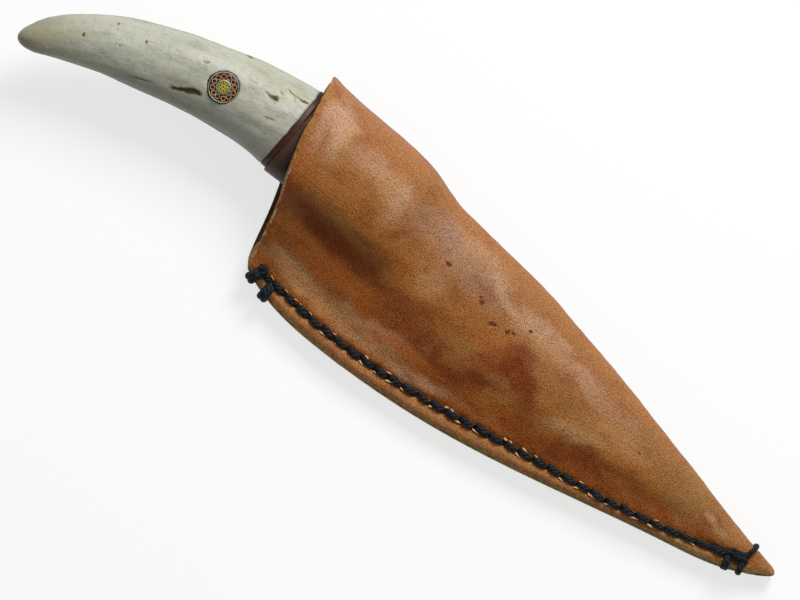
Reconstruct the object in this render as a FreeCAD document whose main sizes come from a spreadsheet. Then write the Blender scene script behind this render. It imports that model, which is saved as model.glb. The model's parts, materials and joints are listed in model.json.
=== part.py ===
# Sheath knife: a fixed blade with an antler handle, in a pouch folded from one piece of leather and
# stitched along its lower edge over a welt.
# Millimetres. +X runs from the handle's tip to the pouch's tip, +Y to the folded edge, +Z up. The object
# lies on the flat back of the pouch; the origin is on that back, under the middle of the whole object.
# The knife's pieces are drawn in the knife's own frame: x along the blade from the ferrule's front face,
# y across it, z through its thickness. That frame leans a little in the pouch, handle end up.
import FreeCAD, Part
import math
import os
import Sketcher

Vector = FreeCAD.Vector

sizes = {
    # the knife's seat in the pouch
    "knife_x": -14.0,
    "knife_z": 10.6,
    "knife_tilt": 3.5,
    # pin: a standard 5/16 inch rod with small tubes set in resin
    "pin_x": -53.7,
    "pin_y": 7.1,
    "pin_outer_r": 3.97,
    "pin_outer_bore_r": 3.55,
    "pin_middle_r": 1.95,
    "pin_middle_bore_r": 1.5,
    "pin_half_length": 8.5,
    "pin_resin_half_length": 8.35,
    "ring_pitch_r": 2.75,
    "ring_tube_r": 0.6,
    "ring_tube_bore_r": 0.36,
    "ring_count": 12,
    "ring_turn": 7.0,
    "core_pitch_r": 0.95,
    "core_tube_r": 0.4,
    "core_tube_bore_r": 0.22,
    "core_count": 6,
    # spacer and ferrule
    "spacer_thick": 1.5,
    "spacer_wide": 11.8,
    "spacer_deep": 9.2,
    "ferrule_ease": 1.3,
    # tang and the slot that it is bedded in
    "tang_half_thick": 1.5,
    "slot_half_thick": 2.6,
    # blade
    "ricasso_length": 6.0,
    "ricasso_low_y": 1.2,
    "ricasso_high_y": 17.4,
    "edge_half_thick": 0.12,
    # pouch
    "leather": 2.2,
    "seam_thick": 6.8,
    "welt_gap": 2.4,
    "welt_share": 0.985,
    "welt_corner_x": -35.8,
    "welt_corner_y": -21.3,
    "front_inset": 1.2,
    "fold_reach": 8.5,
    "crease_reach": 1.6,
    "beyond_edge": -40.0,
    "beyond_fold": 45.0,
    "margin": 6.0,
    # thread, the grooves that it lies in and its holes
    "stitch_count": 34,
    "thread_r": 0.85,
    "leg_r": 0.6,
    "hole_r": 0.7,
    "front_thread_z": 7.12,
    "back_thread_z": 0.9,
    "stitch_slant": 0.3,
    "stitch_overrun": 0.25,
    "groove_half_wide": 1.25,
    "groove_overrun": 0.8,
    "front_groove_z": 6.25,
    "back_groove_z": 1.8,
    # turns of thread that lock the seam
    "wrap_r": 0.75,
    "wrap_top_z": 7.7,
    "wrap_overrun": 0.2,
    "wrap_room": 1.3,
    "knot_r": 1.1,
    "knot_x": 107.9,
    "knot_y": 0.5,
}

# Tables of the drawn curves, one row for each station or corner; every number gets a cell of its own.
tables = {
    # antler: x, centre y, half width in y, half thickness in z
    "antler": [
        (-34.3, 10.35, 11.65, 9.1),
        (-44.0, 9.2, 10.85, 8.85),
        (-56.0, 6.6, 10.15, 8.4),
        (-68.0, 2.85, 9.5, 7.7),
        (-80.0, -1.75, 8.5, 6.75),
        (-90.0, -6.6, 7.3, 5.6),
        (-96.0, -10.4, 6.0, 4.5),
    ],
    # blunt end of the antler, from the last row above
    "antler_tip": [
        (-96.0, -10.4, 6.0, 4.5),
        (-98.4, -12.0, 4.95, 3.8),
        (-100.2, -13.3, 3.7, 2.95),
        (-101.3, -14.1, 2.4, 2.0),
        (-101.9, -14.4, 1.1, 0.9),
    ],
    # ferrule: x, centre y, half width in y, half thickness in z
    "ferrule": [
        (-32.8, 10.2, 12.4, 9.4),
        (-16.4, 10.6, 12.0, 8.9),
        (0.0, 11.1, 11.4, 8.2),
    ],
    # blade: x, spine y, edge y, half thickness at the spine
    "blade": [
        (6.0, 17.4, -3.0, 1.5),
        (24.0, 16.2, -4.8, 1.5),
        (44.0, 13.9, -5.4, 1.4),
        (64.0, 11.0, -4.2, 1.3),
        (84.0, 7.4, -1.6, 1.1),
        (98.0, 4.9, 1.2, 0.7),
        (108.0, 3.4, 2.7, 0.3),
    ],
    # tang outline: x, y
    "tang": [
        (0.5, 4.6),
        (0.5, 16.0),
        (-46.0, 13.4),
        (-66.0, 9.0),
        (-70.0, 6.8),
        (-68.0, 3.2),
        (-46.0, 1.2),
    ],
    # slot in the antler: x, y
    "slot": [
        (-34.3, 2.0),
        (-34.3, 17.2),
        (-50.0, 15.0),
        (-73.0, 9.6),
        (-73.0, 1.6),
        (-50.0, -0.6),
    ],
    # pouch sections: x, fold y, crest height, crest low y, crest high y, crease y, crease height, seam y
    "pouch": [
        (-54.0, 28.4, 26.2, 0.6, 17.5, -7.4, 15.6, -22.6),
        (-46.0, 27.2, 25.3, 0.6, 17.4, -7.3, 15.2, -22.6),
        (-38.0, 26.7, 24.4, 0.6, 17.2, -7.2, 14.8, -22.6),
        (-30.0, 26.6, 23.6, 0.6, 17.0, -7.0, 14.4, -22.6),
        (-22.0, 26.7, 22.9, 0.8, 17.0, -7.0, 13.9, -22.9),
        (-14.0, 26.1, 22.0, 1.4, 17.0, -7.0, 13.3, -23.1),
        (-9.0, 24.4, 18.8, 1.8, 16.4, -7.0, 12.6, -23.2),
        (-3.0, 22.8, 15.0, 1.0, 15.6, -7.6, 11.8, -23.2),
        (6.0, 22.4, 14.1, -1.4, 14.6, -8.6, 11.0, -22.4),
        (18.0, 21.6, 13.4, -2.8, 13.8, -9.4, 10.3, -20.8),
        (32.0, 19.8, 12.5, -3.2, 12.4, -9.4, 9.4, -18.2),
        (48.0, 17.2, 11.4, -3.0, 10.6, -8.6, 8.6, -15.0),
        (64.0, 14.1, 10.3, -2.2, 8.4, -6.8, 7.9, -12.1),
        (80.0, 10.8, 9.2, -0.4, 6.0, -4.0, 7.1, -8.7),
        (92.0, 8.2, 7.7, 0.6, 4.4, -1.6, 6.8, -5.3),
        (104.0, 5.8, 6.8, 0.0, 2.4, -1.6, 6.8, -3.6),
        (118.0, 2.8, 6.8, -1.6, 0.0, -2.4, 6.8, -4.0),
    ],
    # where the pouch's surface is parted: knots along it, then knots round it
    "along_cuts": [
        (3, 7),
    ],
    "round_cuts": [
        (3, 5),
    ],
    # lower edge of the back panel and the welt, in plan: x, y
    "edge": [
        (-34.0, -23.8),
        (-26.0, -26.5),
        (-6.0, -27.75),
        (26.0, -24.6),
        (58.0, -17.5),
        (90.0, -9.2),
        (110.0, -2.6),
        (115.0, 1.0),
    ],
    # rounded nose at the tip, from the lower edge's end: x, y
    "nose": [
        (115.85, 2.1),
        (115.4, 3.3),
    ],
    # seam line, in plan: x, y
    "seam": [
        (-31.0, -22.1),
        (-6.0, -23.2),
        (18.0, -20.8),
        (48.0, -15.0),
        (78.0, -9.1),
        (96.0, -3.9),
        (108.2, 0.3),
    ],
    # inner edge of the welt, in plan: x, y
    "welt_inner": [
        (-36.4, -16.6),
        (-6.0, -17.4),
        (26.0, -13.9),
        (58.0, -8.6),
        (84.0, -3.6),
        (98.0, 1.0),
        (110.0, 0.4),
    ],
    # cut edge of the front panel at the mouth, in plan: x, y
    "mouth_front": [
        (-49.2, 27.9),
        (-47.3, 22.7),
        (-45.3, 11.3),
        (-41.3, 0.0),
        (-38.3, -8.0),
        (-35.6, -18.7),
        (-35.2, -21.5),
    ],
    # cut edge of the back panel at the mouth, in plan: x, y
    "mouth_back": [
        (-49.5, 28.0),
        (-48.0, 22.7),
        (-46.4, 11.3),
        (-42.6, 0.0),
        (-39.7, -8.0),
        (-36.7, -18.7),
        (-35.9, -21.3),
    ],
}

doc = FreeCAD.newDocument("SheathKnife")
sheet = doc.addObject("Spreadsheet::Sheet", "Sizes")


def fill_sheet():
    """Write every size into a cell with an alias; a table's cells are named table_row_column."""
    named = dict(sizes)
    for table, rows in tables.items():
        for row, values in enumerate(rows):
            for column, value in enumerate(values):
                named[f"{table}_{row}_{column}"] = value
    for line, (alias, value) in enumerate(named.items(), start=1):
        sheet.set(f"A{line}", alias)
        sheet.set(f"B{line}", str(value))
        sheet.setAlias(f"B{line}", alias)
    doc.recompute()


def size(alias):
    """The value of a cell."""
    return float(getattr(sheet, alias))


def row_of(table, row):
    """One row of a table as it stands in the sheet."""
    return [size(f"{table}_{row}_{column}") for column in range(len(tables[table][row]))]


def rows_of(table):
    """All the rows of a table as they stand in the sheet."""
    return [row_of(table, row) for row in range(len(tables[table]))]


# ---- helpers for bodies and sketches ----


def new_body(label):
    body = doc.addObject("PartDesign::Body", label)
    body.Label = label
    return body


def in_knife_frame(body):
    """Seat a piece of the knife in the pouch."""
    body.setExpression("Placement.Base.x", "Sizes.knife_x")
    body.setExpression("Placement.Base.z", "Sizes.knife_z")
    body.Placement.Rotation = FreeCAD.Rotation(Vector(0, 1, 0), size("knife_tilt"))
    body.setExpression("Placement.Rotation.Angle", "Sizes.knife_tilt")


def at_pin(body):
    """Seat a piece of the pin: its own axis goes through the handle at the pin's place."""
    tilt = FreeCAD.Rotation(Vector(0, 1, 0), size("knife_tilt"))
    seat = Vector(size("knife_x"), 0, size("knife_z"))
    body.Placement = FreeCAD.Placement(seat + tilt.multVec(Vector(size("pin_x"), size("pin_y"), 0)), tilt)
    body.setExpression("Placement.Base.x", "Sizes.knife_x + Sizes.pin_x * cos(Sizes.knife_tilt)")
    body.setExpression("Placement.Base.y", "Sizes.pin_y")
    body.setExpression("Placement.Base.z", "Sizes.knife_z - Sizes.pin_x * sin(Sizes.knife_tilt)")
    body.setExpression("Placement.Rotation.Angle", "Sizes.knife_tilt")


def sketch_on(body, name, role):
    """An empty sketch on one of the body's own origin planes."""
    sketch = body.newObject("Sketcher::SketchObject", name)
    plane = next(feature for feature in body.Origin.OriginFeatures if feature.Role == role)
    sketch.AttachmentSupport = [(plane, "")]
    sketch.MapMode = "FlatFace"
    return sketch


def section_sketch(body, name, station):
    """An empty sketch across the x axis, at the station that a cell holds."""
    sketch = sketch_on(body, name, "YZ_Plane")
    sketch.AttachmentOffset = FreeCAD.Placement(Vector(0, 0, size(station)), FreeCAD.Rotation())
    sketch.setExpression("AttachmentOffset.Base.z", f"Sizes.{station}")
    return sketch


def bind(sketch, constraint, expression):
    """Add a dimension and tie it to the sheet."""
    index = sketch.addConstraint(constraint)
    sketch.setExpression(f"Constraints[{index}]", expression)


def ellipse_section(body, table, row):
    """Ellipse across the x axis from a row of x, centre y, half width and half thickness."""
    _, centre_y, wide, deep = row_of(table, row)
    sketch = section_sketch(body, f"{table}_section_{row}", f"{table}_{row}_0")
    ellipse = Part.Ellipse(Vector(centre_y + wide, 0, 0), Vector(centre_y, deep, 0), Vector(centre_y, 0, 0))
    sketch.addGeometry(ellipse)
    sketch.exposeInternalGeometry(0)
    sketch.addConstraint(Sketcher.Constraint("Horizontal", 1))
    sketch.addConstraint(Sketcher.Constraint("PointOnObject", 0, 3, -1))
    bind(sketch, Sketcher.Constraint("Distance", 1, 2 * wide), f"2 * Sizes.{table}_{row}_2")
    bind(sketch, Sketcher.Constraint("Distance", 2, 2 * deep), f"2 * Sizes.{table}_{row}_3")
    bind(sketch, Sketcher.Constraint("DistanceX", -1, 1, 0, 3, centre_y), f"Sizes.{table}_{row}_1")
    return sketch


def ellipse_sections(body, table):
    """An ellipse for every row of a table."""
    return [ellipse_section(body, table, row) for row in range(len(tables[table]))]


def polygon(sketch, corners):
    """Closed polygon; each corner is (x, x formula, y, y formula)."""
    points = [Vector(x, y, 0) for x, _, y, _ in corners]
    count = len(points)
    for index in range(count):
        sketch.addGeometry(Part.LineSegment(points[index], points[(index + 1) % count]))
    for index in range(count):
        sketch.addConstraint(Sketcher.Constraint("Coincident", index, 2, (index + 1) % count, 1))
    for index, (x, x_formula, y, y_formula) in enumerate(corners):
        bind(sketch, Sketcher.Constraint("DistanceX", -1, 1, index, 1, x), x_formula)
        bind(sketch, Sketcher.Constraint("DistanceY", -1, 1, index, 1, y), y_formula)


def table_corners(table):
    """Corners for polygon from a table of x, y."""
    corners = []
    for row, (x, y) in enumerate(rows_of(table)):
        corners.append((x, f"Sizes.{table}_{row}_0", y, f"Sizes.{table}_{row}_1"))
    return corners


def circle(sketch, radius_alias, x=0.0, y=0.0):
    """Circle of a radius from the sheet; at the origin, or held at x, y."""
    geo = sketch.addGeometry(Part.Circle(Vector(x, y, 0), Vector(0, 0, 1), size(radius_alias)))
    bind(sketch, Sketcher.Constraint("Radius", geo, size(radius_alias)), f"Sizes.{radius_alias}")
    if x == 0.0 and y == 0.0:
        sketch.addConstraint(Sketcher.Constraint("Coincident", geo, 3, -1, 1))
    return geo


def hold_centre(sketch, geo, x, x_formula, y, y_formula):
    bind(sketch, Sketcher.Constraint("DistanceX", -1, 1, geo, 3, x), x_formula)
    bind(sketch, Sketcher.Constraint("DistanceY", -1, 1, geo, 3, y), y_formula)


def both_ways(feature, half_alias):
    """Make a pad or pocket run the same way on both sides of its sketch."""
    feature.SideType = "Symmetric"
    feature.setExpression("Length", f"2 * Sizes.{half_alias}")
    return feature


def pad(body, name, sketch, half_alias):
    feature = body.newObject("PartDesign::Pad", name)
    feature.Profile = sketch
    return both_ways(feature, half_alias)


def pocket(body, name, sketch, half_alias):
    feature = body.newObject("PartDesign::Pocket", name)
    feature.Profile = sketch
    return both_ways(feature, half_alias)


def loft(body, name, sections, ruled=False):
    feature = body.newObject("PartDesign::AdditiveLoft", name)
    feature.Profile = sections[0]
    feature.Sections = sections[1:]
    feature.Ruled = ruled
    return feature


def pocket_table(body, name, table, half_alias):
    """Cut the outline of a table through the body, as deep as half_alias on both sides."""
    sketch = sketch_on(body, f"{name}_outline", "XY_Plane")
    polygon(sketch, table_corners(table))
    return pocket(body, name, sketch, half_alias)


def pin_bore(body):
    """Bore for the pin, right through."""
    sketch = sketch_on(body, "pin_bore_outline", "XY_Plane")
    geo = circle(sketch, "pin_outer_r", size("pin_x"), size("pin_y"))
    hold_centre(sketch, geo, size("pin_x"), "Sizes.pin_x", size("pin_y"), "Sizes.pin_y")
    feature = body.newObject("PartDesign::Pocket", "pin_bore")
    feature.Profile = sketch
    feature.SideType = "Symmetric"
    feature.Type = "ThroughAll"
    return feature


# ---- knife ----


def make_blade():
    """Flat-ground blade, square ricasso and stick tang in one piece."""
    body = new_body("blade")
    sections = []
    for row, (_, spine, edge, half) in enumerate(rows_of("blade")):
        sketch = section_sketch(body, f"blade_section_{row}", f"blade_{row}_0")
        thin = size("edge_half_thick")
        spine_y = (spine, f"Sizes.blade_{row}_1")
        edge_y = (edge, f"Sizes.blade_{row}_2")
        polygon(sketch, [
            (*spine_y, half, f"Sizes.blade_{row}_3"),
            (*spine_y, -half, f"-Sizes.blade_{row}_3"),
            (*edge_y, -thin, "-Sizes.edge_half_thick"),
            (*edge_y, thin, "Sizes.edge_half_thick"),
        ])
        sections.append(sketch)
    loft(body, "ground_blade", sections)

    ricasso = sketch_on(body, "ricasso_outline", "XY_Plane")
    left = (0.0, "0 * Sizes.ricasso_length")
    right = (size("ricasso_length"), "Sizes.ricasso_length")
    low = (size("ricasso_low_y"), "Sizes.ricasso_low_y")
    high = (size("ricasso_high_y"), "Sizes.ricasso_high_y")
    polygon(ricasso, [(*left, *low), (*right, *low), (*right, *high), (*left, *high)])
    pad(body, "ricasso", ricasso, "tang_half_thick")

    tang = sketch_on(body, "tang_outline", "XY_Plane")
    polygon(tang, table_corners("tang"))
    pad(body, "tang", tang, "tang_half_thick")
    pin_bore(body)
    in_knife_frame(body)
    return body


def make_antler():
    """Curved tine, thick at the ferrule and blunt at the tip, slotted for the tang and bored for the pin."""
    body = new_body("antler_handle")
    loft(body, "tine", ellipse_sections(body, "antler"))
    loft(body, "blunt_end", ellipse_sections(body, "antler_tip"), True)
    pocket_table(body, "tang_slot", "slot", "slot_half_thick")
    pin_bore(body)
    in_knife_frame(body)
    return body


def make_bedding():
    """Hardened glue that fills the slot round the tang."""
    body = new_body("tang_bedding")
    outline = sketch_on(body, "slot_outline", "XY_Plane")
    polygon(outline, table_corners("slot"))
    pad(body, "filling", outline, "slot_half_thick")
    pocket_table(body, "tang_space", "tang", "tang_half_thick")
    pin_bore(body)
    in_knife_frame(body)
    return body


def make_ferrule():
    """Oval block that tapers to the blade, with an eased shoulder and a slot for the tang."""
    body = new_body("ferrule")
    loft(body, "block", ellipse_sections(body, "ferrule"), True)
    way = pocket_table(body, "tang_way", "tang", "tang_half_thick")
    doc.recompute()
    shoulder = body.newObject("PartDesign::Chamfer", "shoulder")
    shoulder.Base = (way, [edge_at_x(way.Shape, size("ferrule_2_0"))])
    shoulder.setExpression("Size", "Sizes.ferrule_ease")
    in_knife_frame(body)
    return body


def edge_at_x(shape, x):
    """Name of the edge that lies in the plane across x."""
    for index, edge in enumerate(shape.Edges, start=1):
        middle = edge.valueAt(0.5 * (edge.FirstParameter + edge.LastParameter))
        if all(abs(vertex.X - x) < 0.01 for vertex in edge.Vertexes) and abs(middle.x - x) < 0.01:
            return f"Edge{index}"
    raise ValueError(f"no edge at x = {x}")


def make_spacer():
    """Thin plate between the antler and the ferrule."""
    body = new_body("handle_spacer")
    sketch = section_sketch(body, "spacer_outline", "antler_0_0")
    centre_y = size("antler_0_1")
    wide = size("spacer_wide")
    deep = size("spacer_deep")
    sketch.addGeometry(
        Part.Ellipse(Vector(centre_y + wide, 0, 0), Vector(centre_y, deep, 0), Vector(centre_y, 0, 0)))
    sketch.exposeInternalGeometry(0)
    sketch.addConstraint(Sketcher.Constraint("Horizontal", 1))
    sketch.addConstraint(Sketcher.Constraint("PointOnObject", 0, 3, -1))
    bind(sketch, Sketcher.Constraint("Distance", 1, 2 * wide), "2 * Sizes.spacer_wide")
    bind(sketch, Sketcher.Constraint("Distance", 2, 2 * deep), "2 * Sizes.spacer_deep")
    bind(sketch, Sketcher.Constraint("DistanceX", -1, 1, 0, 3, centre_y), "Sizes.antler_0_1")
    plate = body.newObject("PartDesign::Pad", "plate")
    plate.Profile = sketch
    plate.setExpression("Length", "Sizes.spacer_thick")
    pocket_table(body, "tang_way", "tang", "tang_half_thick")
    in_knife_frame(body)
    return body


# ---- mosaic pin, each piece about its own axis ----


def make_pin_tube(label, outer_alias, bore_alias):
    """A plain tube of the pin's full length."""
    body = new_body(label)
    sketch = sketch_on(body, "wall", "XY_Plane")
    circle(sketch, outer_alias)
    circle(sketch, bore_alias)
    pad(body, "tube", sketch, "pin_half_length")
    at_pin(body)
    return body


def spots(pitch_alias, count_alias):
    """Places of evenly spaced tubes round the pin's axis: x, x formula, y, y formula."""
    count = int(size(count_alias))
    pitch = size(pitch_alias)
    places = []
    for index in range(count):
        turn = 360.0 * index / count + size("ring_turn")
        x = pitch * math.cos(math.radians(turn))
        y = pitch * math.sin(math.radians(turn))
        places.append((x, f"Sizes.{pitch_alias} * cos({turn} deg)", y, f"Sizes.{pitch_alias} * sin({turn} deg)"))
    return places


def make_small_tubes(label, pitch_alias, count_alias, outer_alias, bore_alias, middle):
    """A ring of fine tubes, with one more in the middle if asked."""
    body = new_body(label)
    sketch = sketch_on(body, "walls", "XY_Plane")
    for place in spots(pitch_alias, count_alias):
        for radius in (outer_alias, bore_alias):
            geo = circle(sketch, radius, place[0], place[2])
            hold_centre(sketch, geo, *place)
    if middle:
        circle(sketch, outer_alias)
        circle(sketch, bore_alias)
    pad(body, "tubes", sketch, "pin_half_length")
    at_pin(body)
    return body


def make_resin(label, outer_alias, inner_alias, pitch_alias, count_alias, tube_alias, bore_alias):
    """Resin round the fine tubes and inside them; inner_alias is the wall that it surrounds, if any."""
    body = new_body(label)
    sketch = sketch_on(body, "fill", "XY_Plane")
    circle(sketch, outer_alias)
    for place in spots(pitch_alias, count_alias):
        for radius in (tube_alias, bore_alias):
            geo = circle(sketch, radius, place[0], place[2])
            hold_centre(sketch, geo, *place)
    if inner_alias:
        circle(sketch, inner_alias)
    else:
        circle(sketch, tube_alias)
        circle(sketch, bore_alias)
    pad(body, "resin", sketch, "pin_resin_half_length")
    at_pin(body)
    return body


# ---- pouch ----


def spline(points, low=0.0):
    """Smooth edge through points in plan, at height low."""
    curve = Part.BSplineCurve()
    curve.interpolate([Vector(x, y, low) for x, y in points])
    return curve


def pouch_poles(row, outside):
    """Poles of the front panel's surface at one section, from the seam round the fold to the back.

    The outer surface lies on the table's lines; the inner one lies a leather's thickness inside them.
    """
    _, fold, crest, crest_low, crest_high, crease, crease_high, seam = rows_of("pouch")[row]
    flange = size("seam_thick")
    reach = min(size("fold_reach"), 0.6 * (fold - seam))
    bend = min(size("crease_reach"), 0.25 * (crest_low - seam))
    beyond_edge = size("beyond_edge")
    poles = [
        (beyond_edge, flange),
        (seam, flange),
        (seam + 0.25 * (crease - seam), flange),
        (crease - bend, max(flange, crease_high - 0.3 * bend)),
        (crease + bend, crease_high + 0.3 * bend),
        (crest_low, crest),
        (crest_high, crest),
        (fold, crest * 0.78),
        (fold, crest * 0.24),
        (fold - 0.35 * reach, 0.0),
        (fold - reach, 0.0),
    ]
    if outside:
        return poles
    wall = size("leather")
    inner = [(beyond_edge, flange - wall)]
    for before, (y, z), after in zip(poles, poles[1:], poles[2:]):
        along = Vector(0, after[0] - before[0], after[1] - before[1])
        along.normalize()
        inner.append((y + wall * along.z, z - wall * along.y))
    inner.append((poles[-1][0], wall))
    return inner


def clamped_knots(pole_count, degree=3):
    """Knots and multiplicities of a spline that starts at its first pole and ends at its last."""
    spans = pole_count - degree
    mults = [degree + 1] + [1] * (spans - 1) + [degree + 1]
    return list(range(spans + 1)), mults


def patches(surface, along_cuts, round_cuts):
    """Faces of one surface, parted at the given parameters."""
    faces = []
    for along_start, along_end in zip(along_cuts, along_cuts[1:]):
        for round_start, round_end in zip(round_cuts, round_cuts[1:]):
            patch = surface.copy()
            patch.segment(along_start, along_end, round_start, round_end)
            faces.append(patch.toShape())
    return faces


def parted(curve, cuts):
    """Edges of one curve, parted at the given parameters."""
    edges = []
    for start, end in zip(cuts, cuts[1:]):
        piece = curve.copy()
        piece.segment(start, end)
        edges.append(piece.toShape())
    return edges


def pouch_skin(outside):
    """Solid inside the pouch's outer surface, or the solid of its hollow.

    One spline surface runs over seam flange, crease, crest and fold; the other faces are flat. The
    surface is parted round the shoulder and before the fold, where it curves most.
    """
    net = []
    for row, values in enumerate(rows_of("pouch")):
        net.append([Vector(values[0], y, z) for y, z in pouch_poles(row, outside)])
    along_knots, along_mults = clamped_knots(len(net))
    round_knots, round_mults = clamped_knots(len(net[0]))
    surface = Part.BSplineSurface()
    surface.buildFromPolesMultsKnots(
        net, along_mults, round_mults, along_knots, round_knots, False, False, 3, 3)
    floor = net[0][-1].z
    mouth_foot = Vector(net[0][0].x, net[0][0].y, floor)
    tip_foot = Vector(net[-1][0].x, net[-1][0].y, floor)
    along_cuts = [0, *rows_of("along_cuts")[0], along_knots[-1]]
    round_cuts = [0, *rows_of("round_cuts")[0], round_knots[-1]]
    mouth_curve = parted(surface.uIso(0), round_cuts)
    tip_curve = parted(surface.uIso(along_knots[-1]), round_cuts)
    edge_line = parted(surface.vIso(0), along_cuts)
    fold_curve = parted(surface.vIso(round_knots[-1]), along_cuts)
    mouth_rise = Part.makeLine(mouth_foot, net[0][0])
    mouth_base = Part.makeLine(mouth_foot, net[0][-1])
    tip_rise = Part.makeLine(tip_foot, net[-1][0])
    tip_base = Part.makeLine(tip_foot, net[-1][-1])
    edge_base = Part.makeLine(mouth_foot, tip_foot)
    outlines = [
        [*mouth_curve, mouth_rise, mouth_base],
        [*tip_curve, tip_rise, tip_base],
        [*edge_line, mouth_rise, tip_rise, edge_base],
        [*fold_curve, mouth_base, tip_base, edge_base],
    ]
    faces = patches(surface, along_cuts, round_cuts)
    for outline in outlines:
        faces.append(Part.Face(Part.Wire(Part.__sortEdges__(outline))))
    shell = Part.makeShell(faces)
    shell.sewShape()
    solid = Part.makeSolid(Part.Shell(shell.Faces))
    if solid.Volume < 0:
        solid.reverse()
    return solid


def moved_in(points, inset):
    """Edge points moved up into the pouch, at right angles to the edge."""
    moved = []
    for index, (x, y) in enumerate(points):
        before = points[max(index - 1, 0)]
        after = points[min(index + 1, len(points) - 1)]
        along = Vector(after[0] - before[0], after[1] - before[1], 0)
        along.normalize()
        moved.append((x - inset * along.y, y + inset * along.x))
    return moved


def plan_prism(mouth, edge, low, high):
    """Upright block whose outline is the mouth, the lower edge and the tip; it is open to the fold side."""
    outside = size("beyond_fold")
    mouth_edge = spline(mouth)
    lower_edge = spline(edge)
    tip = lower_edge.EndPoint
    nose_middle, nose_end = (Vector(x, y, 0) for x, y in rows_of("nose"))
    nose = Part.Arc(tip, nose_middle, nose_end)
    before_mouth = mouth_edge.StartPoint.x - size("margin")
    corners = [nose_end, Vector(nose_end.x, outside, 0), Vector(before_mouth, outside, 0), mouth_edge.StartPoint]
    edges = [mouth_edge.toShape()]
    edges.append(Part.LineSegment(mouth_edge.EndPoint, lower_edge.StartPoint).toShape())
    edges.append(lower_edge.toShape())
    edges.append(nose.toShape())
    for start, end in zip(corners, corners[1:]):
        edges.append(Part.LineSegment(start, end).toShape())
    face = Part.Face(Part.Wire(edges))
    face.translate(Vector(0, 0, low))
    return face.extrude(Vector(0, 0, high - low))


def make_leather(openings):
    """The folded pouch: a shell trimmed at mouth, edge and tip, with the grooves and holes of its seam.

    The front panel's cut edge stands a little inside the back panel's and the welt's.
    """
    bottom = -size("margin")
    top = 10.0 * size("seam_thick")
    split = 0.5 * size("seam_thick")
    shell = pouch_skin(True).cut(pouch_skin(False))
    edge = rows_of("edge")
    back = plan_prism(rows_of("mouth_back"), edge, bottom, top)
    front = plan_prism(rows_of("mouth_front"), moved_in(edge, size("front_inset")), bottom, top)
    whole = shell.BoundBox
    above = Part.makeBox(whole.XLength, whole.YLength, top, Vector(whole.XMin, whole.YMin, split))
    shape = shell.common(back).cut(above.cut(front))
    return shape.cut(openings)


def make_welt(openings):
    """Strip between the two panels, along the seam and out to the tip."""
    outer_edge = spline(rows_of("edge"))
    outer_edge.segment(outer_edge.FirstParameter, outer_edge.LastParameter * size("welt_share"))
    inner_edge = spline(rows_of("welt_inner"))
    corner = Vector(size("welt_corner_x"), size("welt_corner_y"), 0)
    edges = [
        inner_edge.toShape(),
        Part.makeLine(inner_edge.StartPoint, corner),
        Part.makeLine(corner, outer_edge.StartPoint),
        outer_edge.toShape(),
        Part.makeLine(outer_edge.EndPoint, inner_edge.EndPoint),
    ]
    face = Part.Face(Part.Wire(Part.__sortEdges__(edges)))
    face.translate(Vector(0, 0, size("leather")))
    return face.extrude(Vector(0, 0, size("welt_gap"))).cut(openings)


# ---- thread ----


def bar(start, end, radius, longer=0.0):
    """Six-sided bar from start to end, which may run past both."""
    along = end - start
    along.normalize()
    start = start - along * longer
    end = end + along * longer
    rotation = FreeCAD.Rotation(Vector(0, 0, 1), along)
    corners = []
    for index in range(7):
        turn = math.radians(60.0 * index + 30.0)
        corners.append(start + rotation.multVec(Vector(radius * math.cos(turn), radius * math.sin(turn), 0)))
    return Part.Face(Part.makePolygon(corners)).extrude(end - start)


def seam_points():
    """Places of the holes, evenly spaced along the seam."""
    count = int(size("stitch_count")) + 1
    return spline(rows_of("seam")).toShape().discretize(Number=count)


def longer_at_ends(points, reach):
    """The points, with the first and the last moved outwards along the line."""
    first = Vector(*points[0], 0)
    last = Vector(*points[-1], 0)
    first_way = (first - Vector(*points[1], 0)).normalize() * reach
    last_way = (last - Vector(*points[-2], 0)).normalize() * reach
    start = first + first_way
    end = last + last_way
    return [(start.x, start.y), *points[1:-1], (end.x, end.y)]


def seam_groove(low, high):
    """Upright block that follows the seam, a little wider than the thread."""
    points = longer_at_ends(rows_of("seam"), size("groove_overrun"))
    half = size("groove_half_wide")
    one_side = spline(moved_in(points, half))
    other_side = spline(moved_in(points, -half))
    edges = [
        one_side.toShape(),
        Part.makeLine(one_side.StartPoint, other_side.StartPoint),
        other_side.toShape(),
        Part.makeLine(one_side.EndPoint, other_side.EndPoint),
    ]
    face = Part.Face(Part.Wire(Part.__sortEdges__(edges)))
    face.translate(Vector(0, 0, low))
    return face.extrude(Vector(0, 0, high - low))


def seam_holes():
    """Awl holes through all three layers."""
    holes = []
    for point in seam_points():
        holes.append(bar(point, point + Vector(0, 0, size("seam_thick")), size("hole_r"), 2.0))
    return holes


def make_seam():
    """The whole seam: a slanting stitch between each pair of holes, front and back, and a leg in each hole."""
    holes = seam_points()
    radius = size("thread_r")
    slant = size("stitch_slant")
    pieces = []
    for start, end in zip(holes, holes[1:]):
        along = end - start
        along.normalize()
        side = Vector(-along.y, along.x, 0) * slant
        for height in (size("front_thread_z"), size("back_thread_z")):
            lift = Vector(0, 0, height)
            pieces.append(bar(start + lift + side, end + lift - side, radius, size("stitch_overrun")))
    for hole in holes:
        bottom = hole + Vector(0, 0, size("back_thread_z"))
        top = hole + Vector(0, 0, size("front_thread_z"))
        pieces.append(bar(bottom, top, size("leg_r")))
    return pieces[0].multiFuse(pieces[1:])


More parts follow.
